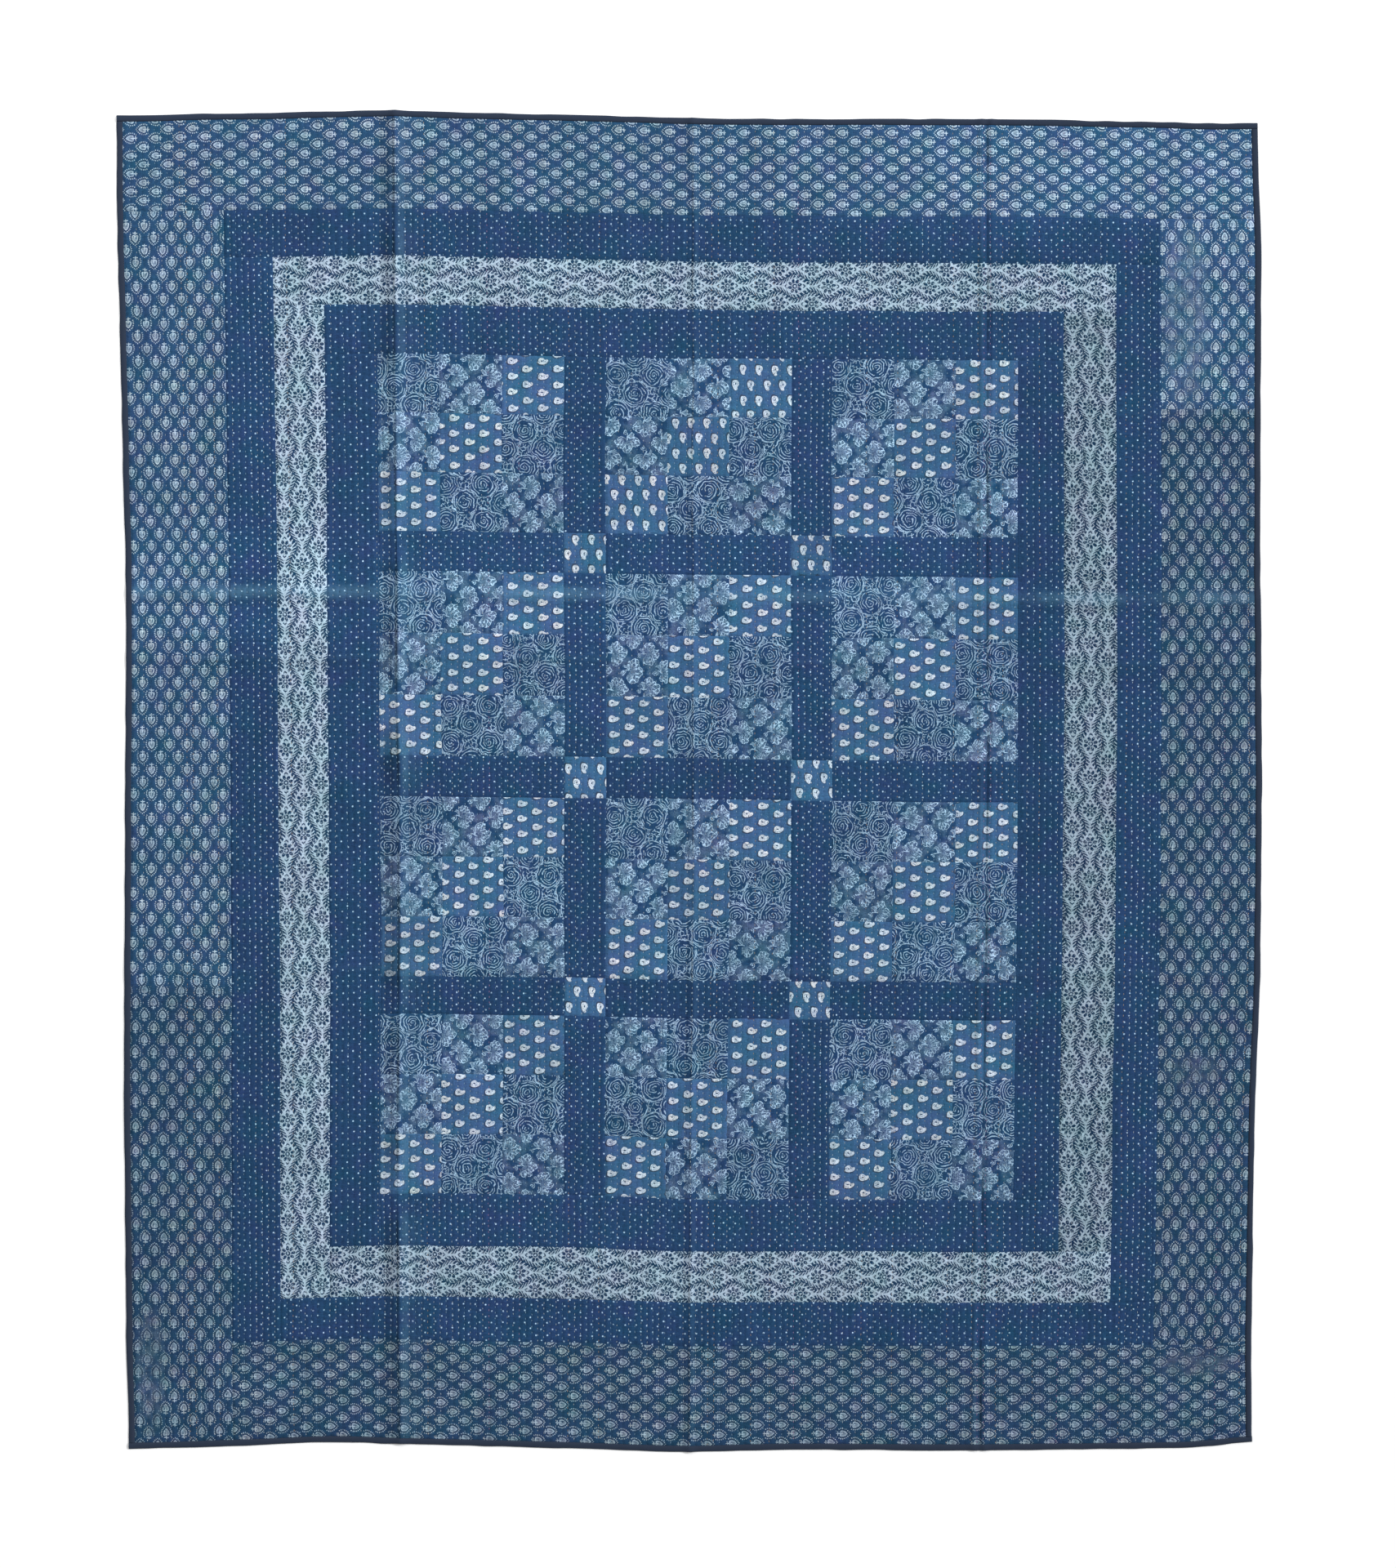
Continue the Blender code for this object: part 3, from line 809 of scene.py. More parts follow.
def make_dye_group():
    """Uneven dyeing: clouds, streaks and a fine grain, and two places made lighter: towards the
    head right corner, and in a band about the level fold except on the right.
    """
    group, given = new_group("Hand dyeing", ("Colour",), ("Colour", "Strength"))
    across, along = given["Across"], given["Along"]
    clouds = noise_at(across, along, 0.011, detail=2.0)
    streaks = noise_at(across, along, 0.05, detail=1.0, stretch=(1.0, 0.12), z=2.0)
    grain = noise_at(across, along, 0.42, z=7.0)
    level = (clouds - 0.5) * 0.7 + (streaks - 0.5) * 0.35 + (grain - 0.5) * 1.0
    # lighter towards the head right corner
    head_right_lightening = ramp(across, -150.0, 850.0) * ramp(along, 1010.0, 1240.0) * 0.33
    # lighter in a band about the level fold, except on the right
    middle_lightening = ramp(abs(along - 400.0), 150.0, 70.0) * ramp(across, 700.0, 300.0) * 0.13
    level = (level * given["Strength"] + 1.0) * (head_right_lightening + middle_lightening + 1.0)
    hue = (noise_at(across, along, 0.022, detail=2.0, z=11.0) - 0.5) * given["Strength"]
    channels = group.nodes.new("ShaderNodeSeparateColor")
    feed(group, channels.inputs[0], given["Colour"])
    hue = hue * (ramp(Term(group, channels.outputs[1]), 0.35, 0.08) * 0.8 + 0.3)
    tint = joined(group, hue * 1.5 + 1.0, 1.0 - hue * 0.7, hue * 0.2 + 1.0)
    node = group.nodes.new("ShaderNodeVectorMath")
    node.operation = "MULTIPLY"
    feed(group, node.inputs[0], given["Colour"])
    feed(group, node.inputs[1], tint)
    give(group, colour=scaled(group, node.outputs[0], level))


def scaled(tree, colour, *levels):
    """A colour made lighter or darker."""
    for level in levels:
        node = tree.nodes.new("ShaderNodeVectorMath")
        node.operation = "SCALE"
        feed(tree, node.inputs[0], colour)
        feed(tree, node.inputs["Scale"], level)
        colour = node.outputs[0]
    return colour


def mixed(tree, share, first, second):
    node = tree.nodes.new("ShaderNodeMix")
    node.data_type = "RGBA"
    feed(tree, node.inputs[0], share)
    feed(tree, node.inputs[6], first)
    feed(tree, node.inputs[7], second)
    return node.outputs[2]


# Lines where the cloth was kept folded, painted with light and shade: how far the paler line
# (painted highlight, with some wear) and the darker line (painted shade) reach
Crease = namedtuple("Crease", "runs place pale pale_shift dark dark_shift width")
CREASES = (
    Crease("along", -596.0, pale=0.10, pale_shift=13.0, dark=0.55, dark_shift=-1.5, width=8.0),
    Crease("along", -596.0, pale=0.04, pale_shift=22.0, dark=0.36, dark_shift=-18.0, width=32.0),
    Crease("along", 0.0, pale=0.05, pale_shift=7.0, dark=0.50, dark_shift=-1.0, width=5.0),
    Crease("along", 593.0, pale=0.06, pale_shift=-12.0, dark=0.52, dark_shift=2.0, width=5.5),
    Crease("across", 382.0, pale=0.20, pale_shift=2.0, dark=0.10, dark_shift=-20.0, width=17.0),
    Crease("across", 249.0, pale=0.03, pale_shift=4.0, dark=0.10, dark_shift=-5.0, width=9.0),
    Crease("across", 755.0, pale=0.02, pale_shift=4.0, dark=0.06, dark_shift=-5.0, width=9.0),
    Crease("across", -380.0, pale=0.03, pale_shift=4.0, dark=0.08, dark_shift=-5.0, width=10.0),
)
# colour that the paler fold lines go towards: painted highlight, with some wear
LIT_AND_WORN_COLOUR = (0.20, 0.43, 0.58, 1.0)


def make_fold_shading_group():
    """Painted highlight, with some wear, on the fold lines, and painted shade beside them."""
    group, given = new_group("Fold wear", ("Colour",), ("Colour",))
    across, along = given["Across"], given["Along"]
    patchy = {
        "along": ramp(noise_at(across * 0.2, along, 0.009, detail=1.0), 0.3, 0.65),
        "across": ramp(noise_at(across, along * 0.2, 0.0065, detail=1.0, z=5.0), 0.35, 0.65),
    }
    pale, dark = across * 0.0, across * 0.0
    for crease in CREASES:
        beside = (across if crease.runs == "along" else along) - crease.place
        uneven = 0.15 + patchy[crease.runs] * 0.85
        # the paler line: painted highlight where the fold faces the light, with some wear
        lit_and_worn = ramp(abs(beside - crease.pale_shift), crease.width * 1.3, 0.0)
        pale = pale + lit_and_worn * uneven * crease.pale
        # the darker line: painted shade beside the fold
        painted_shade = ramp(abs(beside - crease.dark_shift), crease.width * 0.75, 0.0)
        dark = dark + painted_shade * uneven * crease.dark
    colour = mixed(group, least(pale, 0.6), given["Colour"].socket, LIT_AND_WORN_COLOUR)
    give(group, colour=scaled(group, colour, 1.0 - least(dark, 0.7)))


def millimetres(tree, map_name):
    """Places on one of a piece's UV maps, in millimetres."""
    node = tree.nodes.new("ShaderNodeUVMap")
    node.uv_map = map_name
    parts = tree.nodes.new("ShaderNodeSeparateXYZ")
    tree.links.new(node.outputs[0], parts.inputs[0])
    return Term(tree, parts.outputs[0]) * 1000.0, Term(tree, parts.outputs[1]) * 1000.0


def dyed_parts(tree):
    """What a piece's dye colour says: how dark the piece came out, and how far it bled."""
    node = tree.nodes.new("ShaderNodeAttribute")
    node.attribute_name = "dye"
    parts = tree.nodes.new("ShaderNodeSeparateColor")
    tree.links.new(node.outputs["Color"], parts.inputs[0])
    return Term(tree, parts.outputs[0]), Term(tree, parts.outputs[1])


def new_material(name, roughness):
    material = bpy.data.materials.new(name)
    material.use_nodes = True
    tree = material.node_tree
    surface = tree.nodes["Principled BSDF"]
    surface.inputs["Roughness"].default_value = roughness
    surface.inputs["Specular IOR Level"].default_value = 0.1
    return material, tree, surface


def bump(tree, surface, height, strength, distance):
    node = tree.nodes.new("ShaderNodeBump")
    node.inputs["Strength"].default_value = strength
    node.inputs["Distance"].default_value = distance * MM
    feed(tree, node.inputs["Height"], height)
    tree.links.new(node.outputs[0], surface.inputs["Normal"])


YELLOWING = (1.18, 1.02, 0.84)  # what washing does to some marks in places
SHAKE = 1.6  # how far the printer's hand shook
DIMPLE_BUMP, WEAVE_BUMP, PUCKER_BUMP = 0.55, 0.05, 1.2
BUMP_STRENGTH, BUMP_DISTANCE = 0.9, 1.0
SHADOW_LINE = (0.030, 0.045, 0.075, 1.0)
# ground and marks name the looks that give their colours, strength says how well the resist took,
# yellowed how far the marks yellowed in places, and worn how much of them is left at the least
Cloth = namedtuple(
    "Cloth", "name print ground marks strength yellowed worn", defaults=(0.0, 0.75)
)
CLOTHS = (
    Cloth("sprig_print", "Sprig print", "sprig_ground", "sprig_colour", 0.92, yellowed=0.5),
    Cloth("dotted_indigo", "Dot print", "dotted_ground", "resist_colour", 1.0),
    Cloth("vine_print", "Vine print", "vine_ground", "vine_colour", 1.0, worn=0.97),
    Cloth("rose_print", "Rose print", "patch_ground", "resist_colour", 0.83),
    Cloth("cluster_print", "Cluster print", "patch_ground", "resist_colour", 0.98),
    Cloth("paisley_patch", "Paisley print", "paisley_ground", "cream_colour", 1.0, yellowed=0.5),
    Cloth("paisley_print", "Paisley print", "paisley_ground", "cream_colour", 1.0, yellowed=0.5),
)


def make_printed_cloth(cloth, looks):
    """Printed cotton: ground and marks from the print, then dye, painted highlight and shade on
    the folds with some wear, and weave over it.
    """
    _, tree, surface = new_material(cloth.name + "_cloth", looks.roughness)
    across, along = millimetres(tree, "cloth")
    bolt_across, bolt_along = millimetres(tree, "print")
    shade, bleed = dyed_parts(tree)
    shake_x = (noise_at(bolt_across, bolt_along, 0.13) - 0.5) * SHAKE
    shake_y = (noise_at(bolt_across, bolt_along, 0.13, z=6.0) - 0.5) * SHAKE
    marks = place_group(tree, cloth.print, bolt_across + shake_x, bolt_along + shake_y)
    thin = ramp(noise_at(across, along, 0.035, detail=1.0, z=1.5), 0.25, 0.55)
    thin = thin * (1.0 - cloth.worn) + cloth.worn
    thin = thin * ramp(noise_at(across, along, 0.6, z=9.0), 0.22, 0.42)
    mark = marks["Mark"] * thin * cloth.strength
    if cloth.name == "sprig_print":
        cloudy = ramp(noise_at(across, along, 0.06, detail=1.0, z=3.0), 0.35, 0.7)
        mark = blend(bleed, mark, mark * 0.4 + cloudy * 0.10 + 0.03)
    ground_colour, mark_colour = getattr(looks, cloth.ground), getattr(looks, cloth.marks)
    yellow_colour = [part * tint for part, tint in zip(mark_colour, YELLOWING)]
    yellow = ramp(noise_at(across, along, 0.021, detail=1.0, z=17.0), 0.42, 0.68)
    ink = mixed(tree, yellow * cloth.yellowed, (*mark_colour, 1.0), (*yellow_colour, 1.0))
    colour = mixed(tree, mark, (*ground_colour, 1.0), ink)
    if "Line" in marks:
        colour = mixed(tree, marks["Line"] * 0.9, colour, SHADOW_LINE)
    colour = scaled(tree, colour, shade)
    dyed = place_group(
        tree, "Hand dyeing", across, along, Colour=colour, Strength=looks.dye_unevenness
    )
    # painted highlight and shade on the fold lines, with some wear
    worn = place_group(tree, "Fold wear", across, along, Colour=dyed["Colour"])
    weave = place_group(tree, "Cotton weave", across, along, Thread=looks.thread_width / MM)
    # the weave shade holds the slubs and a painted highlight on the high threads
    feed(tree, surface.inputs["Base Color"], scaled(tree, worn["Colour"], weave["Shade"]))
    dimples = place_group(tree, "Quilting dimples", across, along)
    height = dimples["Height"] * DIMPLE_BUMP + weave["Height"] * WEAVE_BUMP
    bump(tree, surface, height, BUMP_STRENGTH, BUMP_DISTANCE)


def make_binding_cloth(looks):
    """Plain dark cotton rolled over the edge, with slubs, high threads painted lighter as painted
    highlight, and fine puckers.
    """
    _, tree, surface = new_material("binding_navy", 0.85)
    across, along = millimetres(tree, "cloth")
    colour, unevenness = (*looks.binding_colour, 1.0), looks.dye_unevenness * 1.4
    dyed = place_group(tree, "Hand dyeing", across, along, Colour=colour, Strength=unevenness)
    weave = place_group(tree, "Cotton weave", across, along, Thread=looks.thread_width / MM)
    feed(tree, surface.inputs["Base Color"], scaled(tree, dyed["Colour"], weave["Shade"]))
    pucker = noise_at(across, along, 0.16, detail=2.0)
    height = weave["Height"] * WEAVE_BUMP + pucker * PUCKER_BUMP
    bump(tree, surface, height, BUMP_STRENGTH, BUMP_DISTANCE)


Thread = namedtuple("Thread", "name colour chance")
THREADS = (
    Thread("ivory", (0.48, 0.56, 0.62), 0.45),
    Thread("light_blue", (0.26, 0.42, 0.56), 0.29),
    Thread("tan", (0.43, 0.33, 0.25), 0.11),
    Thread("pink", (0.40, 0.25, 0.40), 0.05),
    Thread("dark_blue", (0.025, 0.060, 0.130), 0.10),
)


def make_thread_material(thread):
    """Twisted cotton thread: turns of the ply, painted lighter and darker as painted shade, and an
    uneven tone.
    """
    material, tree, surface = new_material("thread_" + thread.name, 0.8)
    across, along = millimetres(tree, "cloth")
    twist = sine((along + across * 1.1) * (math.tau / 0.9))
    # twist paints the turns of the ply lighter and darker: painted shade
    tone = 1.0 + twist * 0.12 + (noise_at(across, along, 0.08, detail=2.0) - 0.5) * 0.6
    feed(tree, surface.inputs["Base Color"], scaled(tree, thread.colour, tone))
    bump(tree, surface, twist, 0.5, 0.15)
    return material


UP, DOWN, LEFT, RIGHT = (0.0, 1.0), (0.0, -1.0), (-1.0, 0.0), (1.0, 0.0)
BOLT_REACH = 400.0
SHADE_REACH = 0.06


def bolt_shift(key):
    """Where on the bolt a piece was cut, and how dark it came out, from a number of its own."""
    chance = np.random.default_rng(key).uniform(-1.0, 1.0, 3)
    return (chance[0] * BOLT_REACH, chance[1] * BOLT_REACH), 1.0 + SHADE_REACH * chance[2]


# The way that each strip's print faces, and how dark the strip is made: darker at the foot and on
# the right vine, lighter at the upper right
BORDER_PRINTS = {
    "outer_border_top": (LEFT, 1.04),
    "outer_border_bottom": (RIGHT, 0.81),
    "outer_border_left_lower": (UP, 0.80),
    "outer_border_left_upper": (DOWN, 1.04),
    "outer_border_right_lower": (UP, 0.83),
    "outer_border_right_upper": (UP, 1.22),
    "vine_border_top": (RIGHT, 0.96),
    "vine_border_bottom": (RIGHT, 0.93),
    "vine_border_left": (UP, 0.98),
    "vine_border_right": (UP, 0.78),
}
RINGS = (
    ("outer", "sprig_print", OUTER_LEFT_JOIN, OUTER_RIGHT_JOIN),
    ("dotted", "dotted_indigo", DOTTED_LEFT_JOIN, None),
    ("vine", "vine_print", None, None),
    ("inner", "dotted_indigo", None, None),
)
ROWS, COLUMNS = 4, 3
# Prints of the nine patches of a block, head row first; R rose, C cluster, P paisley
USUAL_BLOCK = "RCPCPRPRC"
OTHER_BLOCKS = {(4, 2): "CRPRPCPCR"}
PATCH_CLOTHS = {"R": "rose_print", "C": "cluster_print", "P": "paisley_patch"}
TURNED_BLOCKS = {(1, 2)}
# How dark the patches of each print and the rows of cornerstones came out
PATCH_SHADES = {"R": 1.01, "C": 1.08, "P": 1.15}
CORNERSTONE_SHADES = {1: 0.98, 2: 1.26, 3: 1.24}


def border_pieces():
    """Name, cloth, and places across and along of every border strip."""
    for ring, cloth, left_join, right_join in RINGS:
        left, right = ACROSS["left_" + ring], ACROSS["right_" + ring]
        foot, head = ALONG["bottom_" + ring], ALONG["top_" + ring]
        name = ring + "_border_"
        yield name + "top", cloth, (left[0], right[1]), head
        yield name + "bottom", cloth, (left[1], right[1]), foot
        for side, across, low, join in (
            ("left", left, foot[0], left_join),
            ("right", right, foot[1], right_join),
        ):
            if join is None:
                yield name + side, cloth, across, (low, head[0])
            else:
                yield name + side + "_lower", cloth, across, (low, join)
                yield name + side + "_upper", cloth, across, (join, head[0])


def sew_borders():
    for number, (name, cloth, across, along) in enumerate(border_pieces()):
        shift, shade = bolt_shift(100 + number)
        up, shade = BORDER_PRINTS.get(name, (UP, shade))
        if cloth == "vine_print":
            shift = (0.0, shift[1])
        piece_name = name.replace("border", "strip")
        add_cloth(piece_name, name, across, along, cloth, cloth, Print(up, shift, shade))


def sew_between_blocks(name, across, along, key, cloth, up, shade):
    """One sash or cornerstone."""
    shift, chance_shade = bolt_shift(key)
    cloth_print = Print(up, shift, chance_shade * shade)
    add_cloth(name + "_cloth", name, ACROSS[across], ALONG[along], cloth, cloth, cloth_print)


def sew_sashes():
    for row in range(1, ROWS + 1):
        for column in range(1, COLUMNS + 1):
            place, key = f"_r{row}_c{column}", row * 10 + column
            if column < COLUMNS:
                sew_between_blocks(
                    "sash_upright" + place, f"sash_c{column}", f"block_r{row}", 200 + key,
                    "dotted_indigo", UP, 1.01,
                )
            if row < ROWS:
                sew_between_blocks(
                    "sash_level" + place, f"block_c{column}", f"sash_r{row}", 300 + key,
                    "dotted_indigo", UP, 1.0,
                )


def sew_cornerstones():
    for row in range(1, ROWS):
        for column in range(1, COLUMNS):
            sew_between_blocks(
                f"cornerstone_r{row}_c{column}", f"sash_c{column}", f"sash_r{row}",
                400 + row * 10 + column, "paisley_print", RIGHT, CORNERSTONE_SHADES[row],
            )


def third_of(strip, number):
    low, high = strip
    third = (high - low) / 3
    return low + third * number, low + third * (number + 1)


def sew_patches():
    """Nine patches to a block, three to a row."""
    for row in range(1, ROWS + 1):
        for column in range(1, COLUMNS + 1):
            place = f"_r{row}_c{column}"
            order = OTHER_BLOCKS.get((row, column), USUAL_BLOCK)
            up = RIGHT if (row, column) in TURNED_BLOCKS else UP
            for number, kind in enumerate(order):
                across = third_of(ACROSS[f"block_c{column}"], number % 3)
                along = third_of(ALONG[f"block_r{row}"], 2 - number // 3)
                shift, shade = bolt_shift(1000 + row * 100 + column * 10 + number)
                cloth_print = Print(up, shift, shade * PATCH_SHADES[kind])
                add_cloth(
                    f"patch{place}_{number + 1}", "block" + place, across, along,
                    PATCH_CLOTHS[kind], "patchwork_prints", cloth_print,
                )


# Section of the rolled binding: share of its width from the quilt outwards, height in mm
BINDING_TOP = (
    (0.0, 1.2), (0.03, 2.0), (0.12, 2.9), (0.27, 3.4), (0.46, 3.6),
    (0.66, 3.45), (0.83, 2.9), (0.94, 2.0), (0.99, 1.1), (1.0, 0.4),
)
BINDING_UNDER = ((0.98, 0.0), (0.6, 0.0), (0.3, 0.0), (0.02, 0.0))
BINDING_STEP = 5.0
BINDING_SHOULDER = 2.5


def add_binding(name, across, along, outwards):
    """A rolled strip of binding whose thickness and outer edge vary a little."""
    upright = outwards[0] != 0
    low, high = along if upright else across
    inner, outer = across if upright else along
    if outwards[0] + outwards[1] < 0:
        inner, outer = outer, inner
    count = int((high - low) / BINDING_STEP)
    stations = np.linspace(low + PIECE_GAP / 2, high - PIECE_GAP / 2, count)
    shares, heights = np.array(BINDING_TOP + BINDING_UNDER).T
    place, share = np.meshgrid(stations, shares, indexing="ij")
    seed = 51 + len(name)
    plump = 1.0 + 0.09 * soft_noise(place, share * 0, 22.0, seed)
    plump = plump + 0.06 * soft_noise(place, share * 0, 9.0, seed + 1)
    bulge = 0.7 * soft_noise(place, share * 0, 35.0, seed + 2) * share
    beside = inner + (outer - inner) * share + np.sign(outer - inner) * bulge
    grid_x, grid_y = (beside, place) if upright else (place, beside)
    z = heights * plump + lift(grid_x, grid_y)
    points = np.stack((*laid(grid_x, grid_y), z), axis=-1).reshape(-1, 3)
    numbers = np.arange(place.size).reshape(place.shape)
    quads = grid_faces(np.concatenate((numbers, numbers[:, :1]), axis=1))
    if not top_faces_up(points, quads):
        quads = quads[:, ::-1]
    edges = {(a, b) for quad in quads for a, b in zip(quad, np.roll(quad, -1))}
    top = len(BINDING_TOP)
    ends = []
    for end in (numbers[0], numbers[-1]):
        found = zipped(end[:top], shares[:top], end[top:][::-1], shares[top:][::-1], False)
        ends.append(matched(found, edges))
    flat = np.stack((grid_x.ravel(), grid_y.ravel()), axis=-1)
    piece = new_piece(
        name + "_roll", points, quads, np.concatenate(ends), {"cloth": flat}, None,
        bpy.data.materials["binding_navy"], sharp_angle=70.0,
    )
    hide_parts(name)
    width, length = (across[1] - across[0]) * MM, (along[1] - along[0]) * MM


def top_faces_up(points, quads):
    """True if the faces above the shoulder of the binding point up."""
    corners = points[quads]
    normals = np.cross(corners[:, 1] - corners[:, 0], corners[:, 2] - corners[:, 0])
    highest = corners[:, :, 2].mean(axis=1) > BINDING_SHOULDER
    return normals[highest, 2].sum() > 0


def matched(triangles, edges):
    """Triangles turned so that an edge that they share runs opposite to its neighbour's."""
    same_way = any((a, b) in edges for tri in triangles for a, b in zip(tri, np.roll(tri, -1)))
    return triangles[:, ::-1] if same_way else triangles


def bind_edges():
    full = (ACROSS["left_binding"][0], ACROSS["right_binding"][1])
    sides = (ALONG["bottom_binding"][1], ALONG["top_binding"][0])
    add_binding("binding_top", full, ALONG["top_binding"], UP)
    add_binding("binding_bottom", full, ALONG["bottom_binding"], DOWN)
    add_binding("binding_left", ACROSS["left_binding"], sides, LEFT)
    add_binding("binding_right", ACROSS["right_binding"], sides, RIGHT)


ROW_MARGIN, END_MARGIN = 2.2, 2.5  # how far stitches keep from a seam
ROW_LIMIT = 256  # no row of stitches has a number this high, or this low below nought
MISSED_STITCHES = 0.03
TIP_HEIGHT, WAIST_HEIGHT = 0.05, 0.1


def stitch_places():
    """Place, distance from a seam and row of every running stitch on the quilted pieces."""
    chances = np.random.default_rng(77)
    found = []
    for left, right, foot, head in CLOTH_PLACES:
        first_row = math.ceil((left + ROW_MARGIN) / ROW_SPACING)
        last_row = math.floor((right - ROW_MARGIN) / ROW_SPACING)
        for row in np.arange(first_row, last_row + 1):
            phase = (row * PHASE_STEP) % 1.0
            first = math.ceil((foot + END_MARGIN) / STITCH_PERIOD - phase)
            last = math.floor((head - END_MARGIN) / STITCH_PERIOD - phase)
            along = (np.arange(first, last + 1) + phase) * STITCH_PERIOD
            along = along + chances.uniform(-0.8, 0.8, len(along))
            across = row * ROW_SPACING + chances.uniform(-0.3, 0.3, len(along))
            seam = np.minimum(
                np.minimum(across - left, right - across), np.minimum(along - foot, head - along)
            )
            found.append(np.stack((across, along, seam, along * 0 + row), axis=-1))
    return np.concatenate(found)


def quilt():
    """Running stitches, joined by the colour of their thread, a colour to a row."""
    places = stitch_places()
    chances = np.random.default_rng(78).uniform(0.0, 1.0, len(places))
    places = places[chances > MISSED_STITCHES]
    row_chances = np.random.default_rng(79).uniform(0.0, 1.0, 2 * ROW_LIMIT)
    row_chance = row_chances[places[:, 3].astype(int) + ROW_LIMIT]
    low = 0.0
    for thread in THREADS:
        chosen = places[(row_chance >= low) & (row_chance < low + thread.chance)]
        low += thread.chance
        add_stitches(chosen, thread)


def add_stitches(places, thread):
    """Low, pointed stitches: two tips and a three-sided waist, each closed."""
    chances = np.random.default_rng(len(places))
    count = len(places)
    half = STITCH_LENGTH / 2 * chances.uniform(0.82, 1.15, count)
    width = STITCH_WIDTH / 2 * chances.uniform(0.85, 1.15, count)
    lean = chances.uniform(-0.1, 0.1, count)
    across, along, seam = places[:, 0], places[:, 1], places[:, 2]
    ground = face_height(across, along, seam)
    right = np.stack((np.cos(lean), np.sin(lean)), axis=-1) * width[:, None]
    ahead = np.stack((-np.sin(lean), np.cos(lean)), axis=-1) * half[:, None]
    middle = np.stack(laid(across, along), axis=-1)
    corners = np.zeros((count, 5, 3))
    tops = (TIP_HEIGHT, TIP_HEIGHT, WAIST_HEIGHT, WAIST_HEIGHT, WAIST_HEIGHT + STITCH_HEIGHT)
    for number, step in enumerate((-ahead, ahead, -right, right, 0.0)):
        corners[:, number, :2] = middle + step
        corners[:, number, 2] = ground + tops[number]
    pattern = np.array(((0, 3, 4), (0, 4, 2), (0, 2, 3), (1, 4, 3), (1, 2, 4), (1, 3, 2)))
    triangles = (np.arange(count)[:, None, None] * 5 + pattern[None]).reshape(-1, 3)
    flat = np.repeat(np.stack((across, along), axis=-1), 5, axis=0)
    flat = flat + (corners[:, :, :2] - middle[:, None]).reshape(-1, 2)
    piece = new_piece(
        "quilting_" + thread.name, corners.reshape(-1, 3), np.zeros((0, 4), int), triangles,
        {"cloth": flat}, None, make_thread_material(thread), sharp_angle=180.0,
    )


def colour_property(name, description, default):
    return FloatVectorProperty(
        name=name, description=description, default=default,
        subtype="COLOR", size=3, min=0.0, max=1.0,
    )


class BedspreadLooks(bpy.types.PropertyGroup):
    """Sizes and colours of the bedspread that a user may change."""

    sprig_ground: colour_property(
        "Sprig ground", "Blue of the outer border", (0.0205, 0.0655, 0.146)
    )
    dotted_ground: colour_property(
        "Dotted ground", "Dark blue of the sashes and dotted borders", (0.0172, 0.0545, 0.137)
    )
    vine_ground: colour_property(
        "Vine ground", "Pale blue of the vine border", (0.410, 0.543, 0.662)
    )
    patch_ground: colour_property(
        "Patch ground", "Dark blue of the rose and cluster patches", (0.0155, 0.0540, 0.134)
    )
    paisley_ground: colour_property(
        "Paisley ground", "Mid blue of the paisley patches", (0.0375, 0.103, 0.214)
    )
    binding_colour: colour_property(
        "Binding", "Dark blue of the rolled edge", (0.0036, 0.0056, 0.0135)
    )
    sprig_colour: colour_property(
        "Sprig marks", "Pale marks of the outer border", (0.51, 0.67, 0.80)
    )
    vine_colour: colour_property(
        "Vine marks", "Dark blue marks of the vine border", (0.0058, 0.036, 0.092)
    )
    resist_colour: colour_property(
        "Resist marks", "Pale blue of the dots, roses and clusters", (0.46, 0.67, 0.87)
    )
    cream_colour: colour_property("Cream marks", "Cream of the paisleys", (0.53, 0.62, 0.71))
    thread_width: FloatProperty(
        name="Thread width", description="Distance between two threads of the cotton weave",
        subtype="DISTANCE", unit="LENGTH", min=0.0003, max=0.003, default=0.0007, precision=5,
    )
    dye_unevenness: FloatProperty(
        name="Dye unevenness", description="How uneven the indigo is", subtype="FACTOR",
        min=0.0, max=1.5, default=0.6,
    )
    roughness: FloatProperty(
        name="Roughness", description="Roughness of the cotton", subtype="FACTOR",
        min=0.3, max=1.0, default=0.92,
    )
    head_power: FloatProperty(
        name="Head light", description="Power of the soft light above the head edge",
        subtype="POWER", unit="POWER", min=0.0, max=5000.0, default=78.0,
    )
    key_strength: FloatProperty(
        name="Key light", description="Strength of the broad light from the right",
        min=0.0, max=20.0, default=2.4,
    )
    sky_level: FloatProperty(
        name="Surrounding light", description="Level of the even light from all round",
        min=0.0, max=3.0, default=0.38,
    )


class BEDSPREAD_OT_cloths(bpy.types.Operator):
    """Make the printed cottons and the shader groups that they share"""

    bl_idname = "bedspread.cloths"
    bl_label = "Print the cloths"

    def execute(self, context):
        looks = context.scene.bedspread_looks
        for make in (
            make_lattice_group, make_dot_group, make_sprig_group, make_vine_group,
            make_rose_group, make_cluster_group, make_paisley_group, make_weave_group,
            make_quilting_group, make_dye_group, make_fold_shading_group,
        ):
            make()
        for cloth in CLOTHS:
            make_printed_cloth(cloth, looks)
        make_binding_cloth(looks)
        return {"FINISHED"}


class BEDSPREAD_OT_patches(bpy.types.Operator):
    """Sew the nine patches of each of the twelve blocks"""

    bl_idname = "bedspread.patches"
    bl_label = "Sew the patches"

    def execute(self, context):
        sew_patches()
        return {"FINISHED"}


class BEDSPREAD_OT_sashes(bpy.types.Operator):
    """Sew the upright and level sashes between the blocks"""

    bl_idname = "bedspread.sashes"
    bl_label = "Sew the sashes"

    def execute(self, context):
        sew_sashes()
        return {"FINISHED"}


